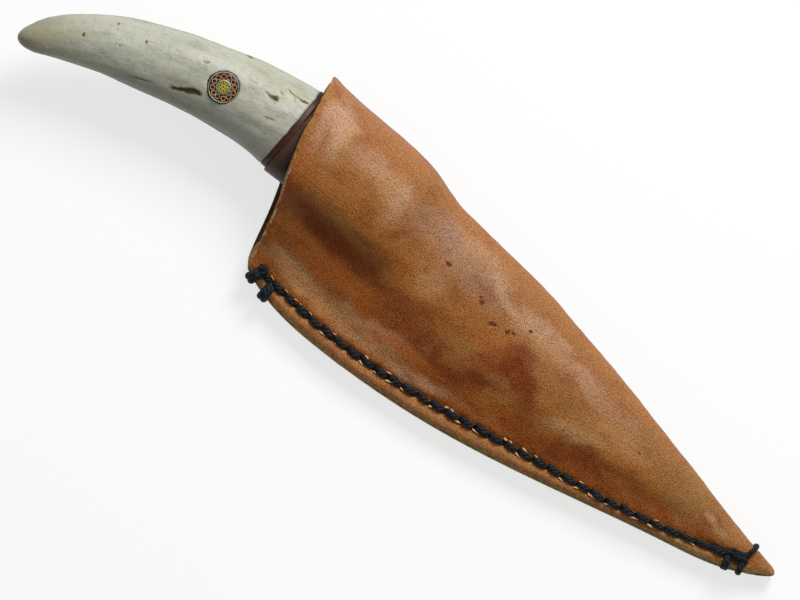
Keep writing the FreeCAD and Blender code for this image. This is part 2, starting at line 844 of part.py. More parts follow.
# Turns of thread over an edge: where each leaves the seam and where it goes down outside the edge.
mouth_turns = [
    ((-30.9, -23.7), (-31.7, -25.7)),
    ((-26.5, -24.2), (-26.3, -27.45)),
]
tip_turns = [
    ((104.2, -2.9), (105.4, -5.75)),
    ((108.4, -1.2), (109.5, -4.1)),
    ((108.6, 1.8), (108.8, 5.6)),
]


def make_turn(turn):
    """A turn of thread: across the front, down outside the edge and back across the rear."""
    (start_x, start_y), (end_x, end_y) = turn
    radius = size("wrap_r")
    overrun = size("wrap_overrun")
    top = Vector(0, 0, size("wrap_top_z"))
    bottom = Vector(0, 0, size("back_thread_z"))
    start = Vector(start_x, start_y, 0)
    end = Vector(end_x, end_y, 0)
    pieces = [
        bar(start + top, end + top, radius, overrun),
        bar(end + bottom, end + top, radius, overrun),
        bar(start + bottom, end + bottom, radius, overrun),
    ]
    return pieces[0].multiFuse(pieces[1:])


def turn_groove(turn):
    """Room for the rear of a turn in the back panel, so that it stays above the surface beneath."""
    (start_x, start_y), (end_x, end_y) = turn
    height = 0.5 * size("back_groove_z")
    radius = size("wrap_room") * size("wrap_r")
    return bar(Vector(start_x, start_y, height), Vector(end_x, end_y, height), radius, 2 * size("wrap_overrun"))


def make_mouth_lock():
    """Two turns over the edge at the mouth."""
    return Part.makeCompound([make_turn(turn) for turn in mouth_turns])


def make_tip_lock():
    """Two turns over the edge and one over the fold at the tip, and the knot on top."""
    radius = size("knot_r")
    seam_top = size("front_thread_z") + size("thread_r")
    knot = Part.makeSphere(radius, Vector(size("knot_x"), size("knot_y"), seam_top + radius))
    return Part.makeCompound([make_turn(turn) for turn in tip_turns] + [knot])


def feature(label, shape):
    """A piece shaped by Part's own functions, where it stands."""
    piece = doc.addObject("Part::Feature", label)
    piece.Shape = shape
    piece.Placement = FreeCAD.Placement()
    piece.Label = label
    return piece


# ---- assembly ----

fill_sheet()
make_blade()
make_antler()
make_bedding()
make_ferrule()
make_spacer()
make_pin_tube("pin_outer_tube", "pin_outer_r", "pin_outer_bore_r")
make_pin_tube("pin_middle_tube", "pin_middle_r", "pin_middle_bore_r")
make_small_tubes("pin_ring_tubes", "ring_pitch_r", "ring_count", "ring_tube_r", "ring_tube_bore_r", False)
make_small_tubes("pin_core_tubes", "core_pitch_r", "core_count", "core_tube_r", "core_tube_bore_r", True)
make_resin("pin_ring_resin", "pin_outer_bore_r", "pin_middle_r",
           "ring_pitch_r", "ring_count", "ring_tube_r", "ring_tube_bore_r")
make_resin("pin_core_resin", "pin_middle_bore_r", None,
           "core_pitch_r", "core_count", "core_tube_r", "core_tube_bore_r")

feature("seam_thread", make_seam())
feature("mouth_lock_thread", make_mouth_lock())
feature("tip_lock_thread", make_tip_lock())
front_groove = seam_groove(size("front_groove_z"), size("seam_thick") + 1.0)
back_groove = seam_groove(-1.0, size("back_groove_z"))
turn_grooves = [turn_groove(turn) for turn in mouth_turns + tip_turns]
feature("sheath_leather", make_leather([front_groove, back_groove, *seam_holes(), *turn_grooves]))
feature("welt", make_welt(seam_holes()))

doc.recompute()

for thing in doc.Objects:
    if "Invalid" in thing.State or "Error" in thing.State:
        raise ValueError(f"{thing.Label} failed: {thing.State}")

os.makedirs("parts", exist_ok=True)
nodes = [thing for thing in doc.Objects if thing.TypeId in ("PartDesign::Body", "Part::Feature")]
for node in nodes:
    if node.Shape.isNull() or not node.Shape.isValid():
        raise ValueError(f"{node.Label} is not a valid solid")
    print(f"{node.Label:20s} solids {len(node.Shape.Solids):3d} volume {node.Shape.Volume:9.1f}")
for node in nodes:
    node.Shape.exportStep(f"parts/{node.Label}.step")
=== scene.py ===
# Antler-handled knife in its stitched leather pouch, dressed for rendering. Everything is in metres.
import json
import math

import bpy
import numpy as np
from mathutils import Matrix, Vector
from mathutils.kdtree import KDTree


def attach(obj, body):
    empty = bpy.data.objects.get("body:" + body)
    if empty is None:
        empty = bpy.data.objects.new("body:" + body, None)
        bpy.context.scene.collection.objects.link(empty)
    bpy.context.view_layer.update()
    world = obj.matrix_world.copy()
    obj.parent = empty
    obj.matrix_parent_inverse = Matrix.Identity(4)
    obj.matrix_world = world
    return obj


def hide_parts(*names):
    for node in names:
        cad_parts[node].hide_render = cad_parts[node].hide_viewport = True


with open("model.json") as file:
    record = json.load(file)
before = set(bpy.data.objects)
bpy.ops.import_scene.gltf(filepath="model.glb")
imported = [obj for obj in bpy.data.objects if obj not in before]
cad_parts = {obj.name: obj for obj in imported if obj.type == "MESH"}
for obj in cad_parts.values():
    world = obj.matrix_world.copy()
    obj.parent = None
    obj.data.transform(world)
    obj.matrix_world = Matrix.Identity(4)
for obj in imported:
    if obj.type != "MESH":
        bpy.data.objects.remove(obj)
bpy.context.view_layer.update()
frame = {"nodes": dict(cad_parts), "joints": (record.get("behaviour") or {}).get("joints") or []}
mm = 0.001


def pickOnly(piece):
    bpy.ops.object.select_all(action="DESELECT")
    piece.select_set(True)
    bpy.context.view_layer.objects.active = piece


def applyAll(piece):
    pickOnly(piece)
    for modifier in list(piece.modifiers):
        bpy.ops.object.modifier_apply(modifier=modifier.name)


def copyPiece(piece):
    pickOnly(piece)
    bpy.ops.object.duplicate(linked=False)
    return bpy.context.object


def joinInto(main, others):
    bpy.ops.object.select_all(action="DESELECT")
    for piece in others:
        piece.select_set(True)
    main.select_set(True)
    bpy.context.view_layer.objects.active = main
    bpy.ops.object.join()


def smoothShade(piece, degrees=40):
    pickOnly(piece)
    bpy.ops.object.shade_smooth_by_angle(angle=math.radians(degrees))


def readPoints(piece):
    points = np.empty(len(piece.data.vertices) * 3)
    piece.data.vertices.foreach_get("co", points)
    return points.reshape(-1, 3)


def readNormals(piece):
    normals = np.empty(len(piece.data.vertices) * 3)
    piece.data.vertices.foreach_get("normal", normals)
    return normals.reshape(-1, 3)


def writePoints(piece, points):
    piece.data.vertices.foreach_set("co", points.ravel())
    piece.data.update()


def writeAttribute(piece, name, values):
    values = np.asarray(values, dtype=np.float32)
    kind = "FLOAT" if values.ndim == 1 else "FLOAT_VECTOR"
    attribute = piece.data.attributes.new(name, kind, "POINT")
    attribute.data.foreach_set("value" if kind == "FLOAT" else "vector", values.ravel())


def smoothAll(piece):
    for polygon in piece.data.polygons:
        polygon.use_smooth = True


def treeOf(places):
    tree = KDTree(len(places))
    for index, place in enumerate(places):
        tree.insert(place, index)
    tree.balance()
    return tree


def copyOfNode(nodeName, pieceName, voxel, rounds):
    # a merged copy of the frame's node, given an even skin and softened corners
    piece = bpy.data.objects.new(pieceName, frame["nodes"][nodeName].data.copy())
    bpy.context.collection.objects.link(piece)
    pickOnly(piece)
    bpy.ops.mesh.customdata_custom_splitnormals_clear()
    bpy.ops.object.mode_set(mode="EDIT")
    bpy.ops.mesh.select_all(action="SELECT")
    bpy.ops.mesh.remove_doubles(threshold=0.002 * mm)
    bpy.ops.object.mode_set(mode="OBJECT")
    piece.data.materials.clear()
    skin = piece.modifiers.new("skin", "REMESH")
    skin.mode = "VOXEL"
    skin.voxel_size = voxel
    soften = piece.modifiers.new("soften", "SMOOTH")
    soften.factor = 0.5
    soften.iterations = rounds
    applyAll(piece)
    smoothAll(piece)
    return piece


def waves(points, seed, size, count=14):
    # soft random height from a sum of slanted sine waves, each about size long
    draw = np.random.default_rng(seed)
    height = np.zeros(len(points))
    for _ in range(count):
        direction = draw.normal(size=3)
        direction /= np.linalg.norm(direction)
        length = size * draw.uniform(0.6, 1.6)
        height += np.sin(points @ direction * 2 * math.pi / length + draw.uniform(0, 2 * math.pi))
    return height / math.sqrt(count)


def naturalSpline(knots, count):
    # evenly spaced points on the smooth curve through knots
    knots = np.asarray(knots, dtype=float)
    spacing = np.linalg.norm(np.diff(knots, axis=0), axis=1)
    along = np.concatenate([[0], np.cumsum(spacing)])
    size = len(knots)
    system = np.eye(size)
    right = np.zeros_like(knots)
    for row in range(1, size - 1):
        before, after = spacing[row - 1], spacing[row]
        system[row, row - 1:row + 2] = before, 2 * (before + after), after
        right[row] = 6 * ((knots[row + 1] - knots[row]) / after - (knots[row] - knots[row - 1]) / before)
    bend = np.linalg.solve(system, right)
    dense = np.linspace(0, along[-1], 2000)
    span = np.clip(np.searchsorted(along, dense) - 1, 0, size - 2)
    width = spacing[span][:, None]
    first = ((along[span + 1] - dense)[:, None]) / width
    second = 1 - first
    curve = first * knots[span] + second * knots[span + 1]
    curve += ((first ** 3 - first) * bend[span] + (second ** 3 - second) * bend[span + 1]) * width ** 2 / 6
    run = np.concatenate([[0], np.cumsum(np.linalg.norm(np.diff(curve, axis=0), axis=1))])
    wanted = np.linspace(0, run[-1], count)
    return np.stack([np.interp(wanted, run, curve[:, axis]) for axis in range(knots.shape[1])], axis=1)


class Shader:
    # one material with its node tree, built up call by call
    def __init__(self, name):
        self.material = bpy.data.materials.new(name)
        self.material.use_nodes = True
        self.tree = self.material.node_tree
        self.surface = self.tree.nodes["Principled BSDF"]
        self.coordinates = self.tree.nodes.new("ShaderNodeTexCoord").outputs["Object"]

    def node(self, kind, inputs=None, **settings):
        made = self.tree.nodes.new("ShaderNode" + kind)
        for key, value in settings.items():
            setattr(made, key, value)
        for key, value in (inputs or {}).items():
            socket = made.inputs[key]
            if hasattr(value, "is_linked"):
                self.tree.links.new(value, socket)
            else:
                socket.default_value = value
        return made

    def attribute(self, name, output="Fac"):
        return self.node("Attribute", attribute_name=name).outputs[output]

    def noise(self, scale, detail=3, rough=0.55, where=None, stretch=None, distortion=0):
        where = where or self.coordinates
        if stretch:
            where = self.node("Mapping", {"Vector": where, "Scale": stretch}).outputs[0]
        return self.node("TexNoise", {
            "Vector": where, "Scale": scale, "Detail": detail, "Roughness": rough,
            "Distortion": distortion}).outputs["Fac"]

    def ramp(self, value, low, high, fromValue=0.0, toValue=1.0):
        return self.node("MapRange", {
            "Value": value, "From Min": low, "From Max": high, "To Min": fromValue, "To Max": toValue},
            interpolation_type="SMOOTHSTEP").outputs[0]

    def math(self, operation, first, second=0.0):
        return self.node("Math", {0: first, 1: second}, operation=operation).outputs[0]

    def mix(self, factor, first, second, blend="MIX"):
        made = self.node("Mix", data_type="RGBA", blend_type=blend)
        for socket, value in ((made.inputs[0], factor), (made.inputs[6], first), (made.inputs[7], second)):
            if hasattr(value, "is_linked"):
                self.tree.links.new(value, socket)
            else:
                socket.default_value = value if isinstance(value, (int, float)) else (*value, 1)
        return made.outputs[2]

    def spot(self, x, y, wide, high, turn=0.0, z=0.0, deep=1.0, where=None, soft=1.0):
        # soft oval mask, in millimetres, 1 in the middle and 0 outside
        mapping = self.node("Mapping", {
            "Vector": where or self.coordinates,
            "Location": (x * mm, y * mm, z * mm),
            "Rotation": (0, 0, math.radians(turn)),
            "Scale": (wide * mm, high * mm, deep)}, vector_type="TEXTURE")
        ball = self.node("TexGradient", {"Vector": mapping.outputs[0]}, gradient_type="SPHERICAL")
        return self.ramp(ball.outputs["Fac"], 0, soft)

    def bump(self, height, distance, strength=1.0, below=None):
        inputs = {"Height": height, "Distance": distance, "Strength": strength}
        if below:
            inputs["Normal"] = below
        return self.node("Bump", inputs).outputs[0]

    def set(self, **values):
        for key, value in values.items():
            socket = self.surface.inputs[key.replace("_", " ")]
            if hasattr(value, "is_linked"):
                self.tree.links.new(value, socket)
            else:
                socket.default_value = value
        return self.material


def paint(piece, material):
    piece.data.materials.clear()
    piece.data.materials.append(material)


def srgb(red, green, blue):
    # screen colour 0 to 255 as the linear value that a shader takes
    def linear(value):
        value /= 255
        return value / 12.92 if value <= 0.04045 else ((value + 0.055) / 1.055) ** 2.4
    return linear(red), linear(green), linear(blue)


# the knife leans in the pouch, and draws out along its blade
drawAxis = Vector(frame["joints"][0]["axis"]).normalized()
bladeAxis = -drawAxis
knifeTilt = math.atan2(-bladeAxis.z, bladeAxis.x)

# the stitched line and the pouch's lower edge in plan, in millimetres
seamLine = [
    (-31.0, -22.1), (-6.0, -23.2), (18.0, -20.8), (48.0, -15.0), (78.0, -9.1), (96.0, -3.9), (108.2, 0.3)]
lowerEdge = [
    (-34.0, -23.8), (-26.0, -26.5), (-6.0, -27.75), (26.0, -24.6), (58.0, -17.5), (90.0, -9.2),
    (110.0, -2.6), (115.0, 1.0)]

leather = {
    "voxel": 0.585 * mm,
    "softRounds": 8,
    "between": 2.7 * mm,  # height between the back panel and the front one
    "frontFrom": 3.5 * mm,  # the front's hollows fade in from here
    "frontOver": 2 * mm,
    "flatOver": 3 * mm,  # the back stays flat, and the waves grow over this height
    "wave": 0.13 * mm,
    "waveSize": 17 * mm,
    "ripple": 0.045 * mm,
    "rippleSize": 5 * mm,
    "cutReach": 1.4 * mm,
    "foldFrom": -42 * mm,  # walls between these and above foldOver are the fold, not a cut edge
    "foldTo": 107 * mm,
    "foldOver": 4 * mm,
    "mouthFrom": 6.2 * mm,  # the mouth's rim lies above this height and left of mouthLeft
    "mouthLeft": -34 * mm,
    "slant": 1.3 * mm,
    "slantOver": 3.2 * mm,
    "slantFrom": 4.4 * mm,
    "inset": 1.2 * mm,
    "pare": 1.0 * mm,
    "pareOver": 2.4 * mm,
    "pareFrom": 4.2 * mm,
    "tipFrom": 108 * mm,
    "tipOver": 6 * mm,
    "tipReach": 1.1 * mm,
    "stitchDip": 0.35 * mm,
    "stitchOver": 2.6 * mm,
    "floorGap": 0.02 * mm,
}

# hollows and swellings worked into the front: x, y, half length, half width, turn, height
leatherRelief = [
    (-27.0, -5.0, 17.0, 4.5, -5, -0.9),
    (-9.0, -7.0, 12.0, 5.0, -12, -0.4),
    (-4.0, 9.0, 7.0, 12.0, 10, -0.5),
    (8.0, 14.0, 9.0, 5.0, -8, 0.35),
    (-19.0, -15.5, 15.0, 3.5, 4, 0.35),
    (4.0, -15.5, 14.0, 3.0, 8, 0.3),
    (35.0, -2.0, 9.0, 5.0, -25, -0.3),
    (60.0, -1.0, 20.0, 5.0, 4, 0.2),
    (-36.0, 14.0, 6.0, 7.0, 0, 0.4),
    (-22.0, 10.0, 6.0, 8.0, 15, 0.35),
    (96.0, 3.6, 2.6, 1.0, -18, -0.25),
]

# dye and burnish patches, with painted highlights (the sheen patches, the greyish and bright ones, and the
# pale ones on the bulge, the fold side and above the seam) and painted shade in the crease below the ferrule
# bulge: x, y, half length, half height, turn, colour, strength
leatherPatches = [
    (2.0, -12.0, 20.0, 8.0, 6, "burnishAndShade", 0.35),
    (22.0, -11.0, 13.0, 5.0, 8, "burnishAndShade", 0.9),
    (13.0, -10.0, 8.0, 4.0, 0, "burnishAndShade", 0.6),
    (48.0, -10.5, 16.0, 3.6, 11, "burnishAndShade", 0.85),
    (61.0, -7.2, 8.0, 4.0, 6, "burnishAndShade", 0.7),
    (80.0, -5.4, 18.0, 3.0, 12, "burnishAndShade", 0.45),
    (66.0, -8.4, 10.0, 2.2, 10, "burnishAndShade", 0.7),
    (97.0, -0.6, 9.0, 2.4, 16, "burnishAndShade", 0.35),
    (35.5, -1.0, 7.5, 7.0, -35, "burnishAndShade", 0.95),
    (31.0, -5.5, 8.0, 5.0, 30, "burnishAndShade", 0.6),
    (27.5, -1.5, 5.0, 4.0, 0, "burnishAndShade", 0.5),
    (2.0, -5.5, 10.0, 6.0, 0, "burnishAndShade", 0.5),
    (12.0, -3.5, 8.0, 4.5, 10, "burnishAndShade", 0.3),
    # painted shade, partly dark burnish: the crease below the ferrule bulge
    (-26.0, -3.2, 18.0, 4.0, -4, "creaseBurnishAndShade", 0.9),
    (-22.0, -3.9, 12.0, 3.4, -9, "creaseBurnishAndShade", 0.8),
    (-40.0, -0.4, 6.0, 4.0, 4, "creaseBurnishAndShade", 0.6),
    (-11.0, -5.8, 10.0, 5.0, -8, "creaseBurnishAndShade", 0.7),
    (-29.0, -12.5, 12.0, 4.0, 2, "mid", 0.5),
    (-36.5, 15.0, 4.6, 9.5, 8, "sheen", 0.6),
    (-24.0, 15.0, 14.0, 6.0, 0, "sheen", 0.45),
    (-41.5, 12.0, 3.0, 11.0, 8, "sheen", 0.5),
    (7.0, 15.0, 16.0, 5.0, -6, "greySheen", 0.8),
    (12.0, 10.5, 12.0, 4.5, -10, "greySheen", 0.4),
    (31.0, 12.0, 12.0, 4.0, -6, "sheen", 0.55),
    (56.0, 8.5, 18.0, 3.0, -8, "sheen", 0.3),
    (3.0, -14.5, 16.0, 2.6, 6, "sheen", 0.25),
    (18.0, -17.8, 15.0, 2.4, 9, "sheen", 0.45),
    (4.0, -17.5, 9.0, 3.2, 4, "pale", 0.5),
    (32.0, -5.5, 5.0, 3.0, 20, "strip", 0.5),
    (20.0, -4.0, 5.0, 3.0, 20, "strip", 0.5),
    (12.5, -8.0, 6.0, 2.4, 10, "burnishAndShade", 0.6),
    (27.0, -8.4, 9.0, 2.6, 8, "burnishAndShade", 0.7),
    (26.0, -3.0, 4.5, 3.0, -20, "burnishAndShade", 0.6),
    (92.0, 4.0, 20.0, 5.0, -6, "dun", 0.7),
    (72.0, 6.5, 14.0, 5.0, -8, "dun", 0.35),
    (52.0, 1.5, 12.0, 4.0, -4, "dun", 0.4),
    (6.0, 6.0, 12.0, 3.6, -14, "burnishAndShade", 0.3),
    (-10.0, 1.0, 11.0, 3.4, 5, "burnishAndShade", 0.4),
    (34.5, 0.5, 8.5, 6.5, -30, "burnishAndShade", 0.55),
    (39.5, -4.5, 6.0, 4.0, -30, "burnishAndShade", 0.5),
    (-35.0, 14.0, 5.0, 10.0, 8, "pale", 0.7),
    (-17.5, 12.5, 5.5, 9.0, 12, "pale", 0.55),
    (-23.0, -17.8, 15.0, 4.4, 2, "pale", 0.85),
    (-3.0, -16.8, 14.0, 4.6, 4, "pale", 0.7),
    (4.0, 4.5, 6.0, 7.0, 20, "pale", 0.5),
    (10.0, 15.0, 14.0, 5.0, -8, "pale", 0.6),
    (32.0, 10.0, 12.0, 5.5, -8, "pale", 0.45),
    (55.0, -3.5, 11.0, 3.2, 14, "pale", 0.75),
    (66.0, 3.0, 12.0, 4.0, 0, "pale", 0.35),
    (96.5, 2.8, 5.6, 1.1, 2, "lens", 0.8),
    (95.0, 1.4, 5.0, 0.6, 2, "burnishAndShade", 0.35),
    (-40.5, 4.5, 3.6, 7.5, 16, "rust", 0.7),
    (-37.0, -3.0, 4.0, 6.0, 16, "rust", 0.5),
    (-40.5, 18.5, 5.0, 7.0, 8, "sheen", 0.8),
    (10.0, -14.5, 20.0, 2.6, 7, "rust", 0.65),
    (-18.0, -11.5, 22.0, 3.4, 0, "rust", 0.45),
    (0.0, -10.0, 9.0, 3.0, 0, "burnishAndShade", 0.5),
    (25.0, 1.5, 10.0, 4.0, 0, "rust", 0.35),
    (42.0, -11.5, 16.0, 2.6, 12, "rust", 0.4),
    (113.0, 1.6, 6.0, 4.0, 0, "dun", 0.8),
    (86.0, 0.2, 9.0, 2.6, 0, "dun", 0.5),
    (-20.0, -18.4, 14.0, 3.0, 2, "brightSheen", 0.6),
    (-15.6, 13.0, 2.4, 6.0, 0, "sheen", 0.6),
    (-37.0, 16.0, 3.4, 8.0, 20, "sheen", 0.6),
    (-9.8, 14.5, 2.6, 8.5, 2, "band", 0.75),
    (-27.0, 22.5, 16.0, 2.6, 0, "band", 0.35),
    (1.0, 15.5, 5.0, 2.4, 0, "greySheen", 0.6),
    (18.0, 12.6, 9.0, 1.6, -6, "sheen", 0.5),
    (37.0, 13.5, 8.0, 1.6, -6, "sheen", 0.4),
    (-8.0, 13.0, 10.0, 5.0, 0, "sheen", 0.35),
    (45.0, 9.0, 12.0, 3.0, 0, "sheen", 0.25),
    (92.0, -7.4, 16.0, 1.5, 13, "pale", 0.7),
]

# small dark stains: x, y, half length, half height
leatherStains = [
    (4.0, 9.5, 1.1, 0.6), (16.5, 7.5, 1.0, 1.0), (15.4, 8.4, 0.6, 0.5), (21.6, 5.0, 0.9, 0.7),
    (22.7, 5.3, 0.7, 0.6), (26.2, 5.9, 0.7, 0.9), (27.6, 6.6, 0.8, 0.5), (30.5, 9.9, 0.8, 0.5),
    (71.0, 4.0, 0.5, 0.4),
]

leatherColours = {
    "fold": srgb(163, 109, 60),
    "mid": srgb(162, 102, 42),
    "low": srgb(158, 90, 28),
    "strip": srgb(168, 116, 66),
    # pale: colour of the grain's pale flecks; as a patch it is mostly a painted highlight
    "pale": srgb(188, 144, 98),
    # painted highlight colour, for the lamp's gloss on the bulge and fold side
    "sheen": srgb(200, 164, 134),
    # painted highlight colour, for the flange above the seam
    "brightSheen": srgb(214, 154, 96),
    "band": srgb(148, 90, 38),
    "dun": srgb(142, 104, 56),
    "lens": srgb(172, 136, 88),
    "rust": srgb(172, 92, 26),
    # painted highlight colour: a greyish sheen near the fold
    "greySheen": srgb(166, 128, 104),
    # burnish colour of the dark blotches and streaks, also the painted shade at the fold's curve
    "burnishAndShade": srgb(122, 53, 4),
    # painted shade in the crease below the ferrule bulge, partly dark burnish
    "creaseBurnishAndShade": srgb(134, 62, 10),
    "mouth": srgb(150, 100, 34),
    "paleMouth": srgb(186, 134, 62),
    "oliveEdge": srgb(140, 108, 50),
    "paleEdge": srgb(190, 152, 84),
    "frayed": srgb(222, 198, 160),
    # painted shade: the pouch's inner faces, near black
    "fleshShade": srgb(44, 28, 14),
    "paleFleshShade": srgb(110, 78, 44),
    "stain": srgb(88, 36, 12),
    "nib": srgb(212, 160, 110),
    "grain": srgb(132, 78, 34),
}


def cutFaces(nodeName):
    # centres of the node's upright walls: the cut edges, without the fold and the seam's grooves and holes
    mesh = frame["nodes"][nodeName].data
    count = len(mesh.polygons)
    normals = np.empty(count * 3)
    centres = np.empty(count * 3)
    mesh.polygons.foreach_get("normal", normals)
    mesh.polygons.foreach_get("center", centres)
    normals = normals.reshape(-1, 3)
    centres = centres.reshape(-1, 3)
    upright = np.abs(normals[:, 2]) < 0.02
    fold = (centres[:, 0] > leather["foldFrom"]) & (centres[:, 0] < leather["foldTo"])
    fold &= centres[:, 1] > leather["foldOver"]
    line = np.array(seamLine) * mm
    onSeam = np.abs(centres[:, 1] - np.interp(centres[:, 0], line[:, 0], line[:, 1])) < 2.0 * mm
    onSeam &= (centres[:, 0] > line[0, 0] - 2 * mm) & (centres[:, 0] < line[-1, 0] + 1.5 * mm)
    return centres[upright & ~fold & ~onSeam]


def nearness(points, targets, reach):
    # 1 on the targets, 0 farther than reach
    tree = treeOf(targets)
    return np.array([max(0.0, 1 - tree.find(point)[2] / reach) for point in points])


def softOval(points, x, y, wide, high, turn):
    # 1 at the middle of a turned oval in plan, fading to 0 well outside it
    angle = math.radians(turn)
    dx = points[:, 0] - x * mm
    dy = points[:, 1] - y * mm
    along = (dx * math.cos(angle) + dy * math.sin(angle)) / (wide * mm)
    across = (dy * math.cos(angle) - dx * math.sin(angle)) / (high * mm)
    return np.exp(-1.4 * (along ** 2 + across ** 2))


def acrossPouch(points):
    # 0 on the seam, 1 on the fold, in plan
    line = np.array(seamLine) * mm
    seamHeight = np.interp(points[:, 0], line[:, 0], line[:, 1])
    slices = np.linspace(points[:, 0].min(), points[:, 0].max(), 60)
    foldHeight = [points[np.abs(points[:, 0] - place) < 3 * mm, 1].max() for place in slices]
    foldHeight = np.interp(points[:, 0], slices, foldHeight)
    return (points[:, 1] - seamHeight) / np.maximum(foldHeight - seamHeight, 1 * mm)


def mouthSlant(points, normals):
    # the front panel is cut on the skew at the mouth: its outer side is drawn in, less so near the seam
    mouth = np.array([
        vertex.co for vertex in frame["nodes"]["sheath_leather"].data.vertices
        if vertex.co.z > leather["mouthFrom"] and vertex.co.x < leather["mouthLeft"]])
    slices = np.linspace(-22 * mm, 27 * mm, 40)
    line = [mouth[np.abs(mouth[:, 1] - place) < 2.5 * mm, 0].min() for place in slices]
    inward = points[:, 0] - np.interp(points[:, 1], slices, line)
    near = np.clip(1 - inward / leather["slantOver"], 0, 1) * (points[:, 2] > leather["slantFrom"])
    near *= np.interp(points[:, 1], [-20 * mm, -8 * mm, 6 * mm, 14 * mm], [0.1, 0.25, 0.8, 1])
    return leather["slant"] * near * np.clip(0.45 + normals[:, 2] * 0.9, 0, 1)


def edgeSlant(points, normals):
    # the seam's edge is pared on the skew too: shift outwards in plan, growing towards the inner side
    line = naturalSpline(np.array(lowerEdge) * mm, 400)
    tree = treeOf([(x, y, 0) for x, y in line])
    shift = np.zeros_like(points)
    depth = np.clip(0.55 - normals[:, 2] * 0.9, 0, 1)
    for index in np.flatnonzero((points[:, 2] > leather["pareFrom"]) & (depth > 0)):
        nearest, _, distance = tree.find((points[index, 0], points[index, 1], 0))
        near = min(1.0, max(0.0, 1 - (distance - leather["inset"]) / leather["pareOver"]))
        if near > 0 and distance > 0.05 * mm:
            way = np.array([nearest.x - points[index, 0], nearest.y - points[index, 1], 0]) / distance
            shift[index] = way * near * depth[index] * leather["pare"]
    return shift


def stitchHoles():
    return naturalSpline(np.array(seamLine) * mm, thread["stitches"] + 1)


tornLip = {
    "radius": 0.5 * mm,
    "flatBelow": -0.22 * mm,
    "height": 6.75 * mm,
    "middle": 60 * mm,  # more lips lie above the thread up to here, and below it past here
    "above": 0.65,
    "aboveFar": 0.3,
    "nearTip": 86 * mm,  # few lips past here
    "skipped": 0.35,
    "skippedTip": 0.8,
    "aside": (0.78, 0.98),  # ranges, aside and shift in millimetres, lean and turn in radians
    "shift": (-1.2, 1.4),
    "lean": (-0.5, 0.1),
    "turn": (-0.45, 0.45),
    "long": (0.9, 2.4),
    "wide": (0.3, 0.66),
    "low": 0.7,
}


def makeLip():
    # one torn lip of leather: a low dome cut flat below and drawn out to a raised point
    bpy.ops.mesh.primitive_uv_sphere_add(
        segments=12, ring_count=8, radius=tornLip["radius"], location=(0, 0, 0))
    lip = bpy.context.object
    lip.name = "tornLip"
    bpy.ops.object.mode_set(mode="EDIT")
    bpy.ops.mesh.select_all(action="SELECT")
    bpy.ops.mesh.bisect(
        plane_co=(0, 0, tornLip["flatBelow"]), plane_no=(0, 0, 1), clear_inner=True, use_fill=True)
    bpy.ops.mesh.select_all(action="DESELECT")
    bpy.ops.object.mode_set(mode="OBJECT")
    lip.data.vertices.foreach_set("select", readPoints(lip)[:, 0] > 0.2 * mm)
    bpy.ops.object.mode_set(mode="EDIT")
    bpy.ops.transform.resize(value=(1.2, 0.55, 0.8), center_override=(0.2 * mm, 0, 0))
    bpy.ops.transform.translate(value=(0.05 * mm, 0.04 * mm, 0.08 * mm))
    bpy.ops.object.mode_set(mode="OBJECT")
    smoothShade(lip, 60)
    writeAttribute(lip, "nib", np.ones(len(lip.data.vertices)))
    return lip


def addNibs(piece):
    # torn lips beside the holes, each a copy of one model
    draw = np.random.default_rng(8)
    holes = stitchHoles()
    model = makeLip()
    nibs = []
    for index in list(range(1, len(holes) - 2)) * 2:
        x, y = holes[index]
        if draw.uniform() < (tornLip["skipped"] if x < tornLip["nearTip"] else tornLip["skippedTip"]):
            continue
        along = holes[index + 1] - holes[index]
        nib = copyPiece(model)
        share = tornLip["above"] if x < tornLip["middle"] else tornLip["aboveFar"]
        above = 1 if draw.uniform() < share else -1
        side = draw.uniform(*tornLip["aside"]) * mm * above
        lean = Matrix.Rotation(draw.uniform(*tornLip["lean"]) * above, 4, "X")
        turn = Matrix.Rotation(math.atan2(along[1], along[0]) + draw.uniform(*tornLip["turn"]), 4, "Z")
        shift = draw.uniform(*tornLip["shift"]) * mm
        place = Matrix.Translation((x + shift, y + side + shift * along[1] / along[0], tornLip["height"]))
        size = Matrix.Diagonal((
            draw.uniform(*tornLip["long"]), draw.uniform(*tornLip["wide"]), tornLip["low"], 1))
        nib.data.transform(place @ turn @ lean @ size)
        nibs.append(nib)
    bpy.data.objects.remove(model)
    joinInto(piece, nibs)


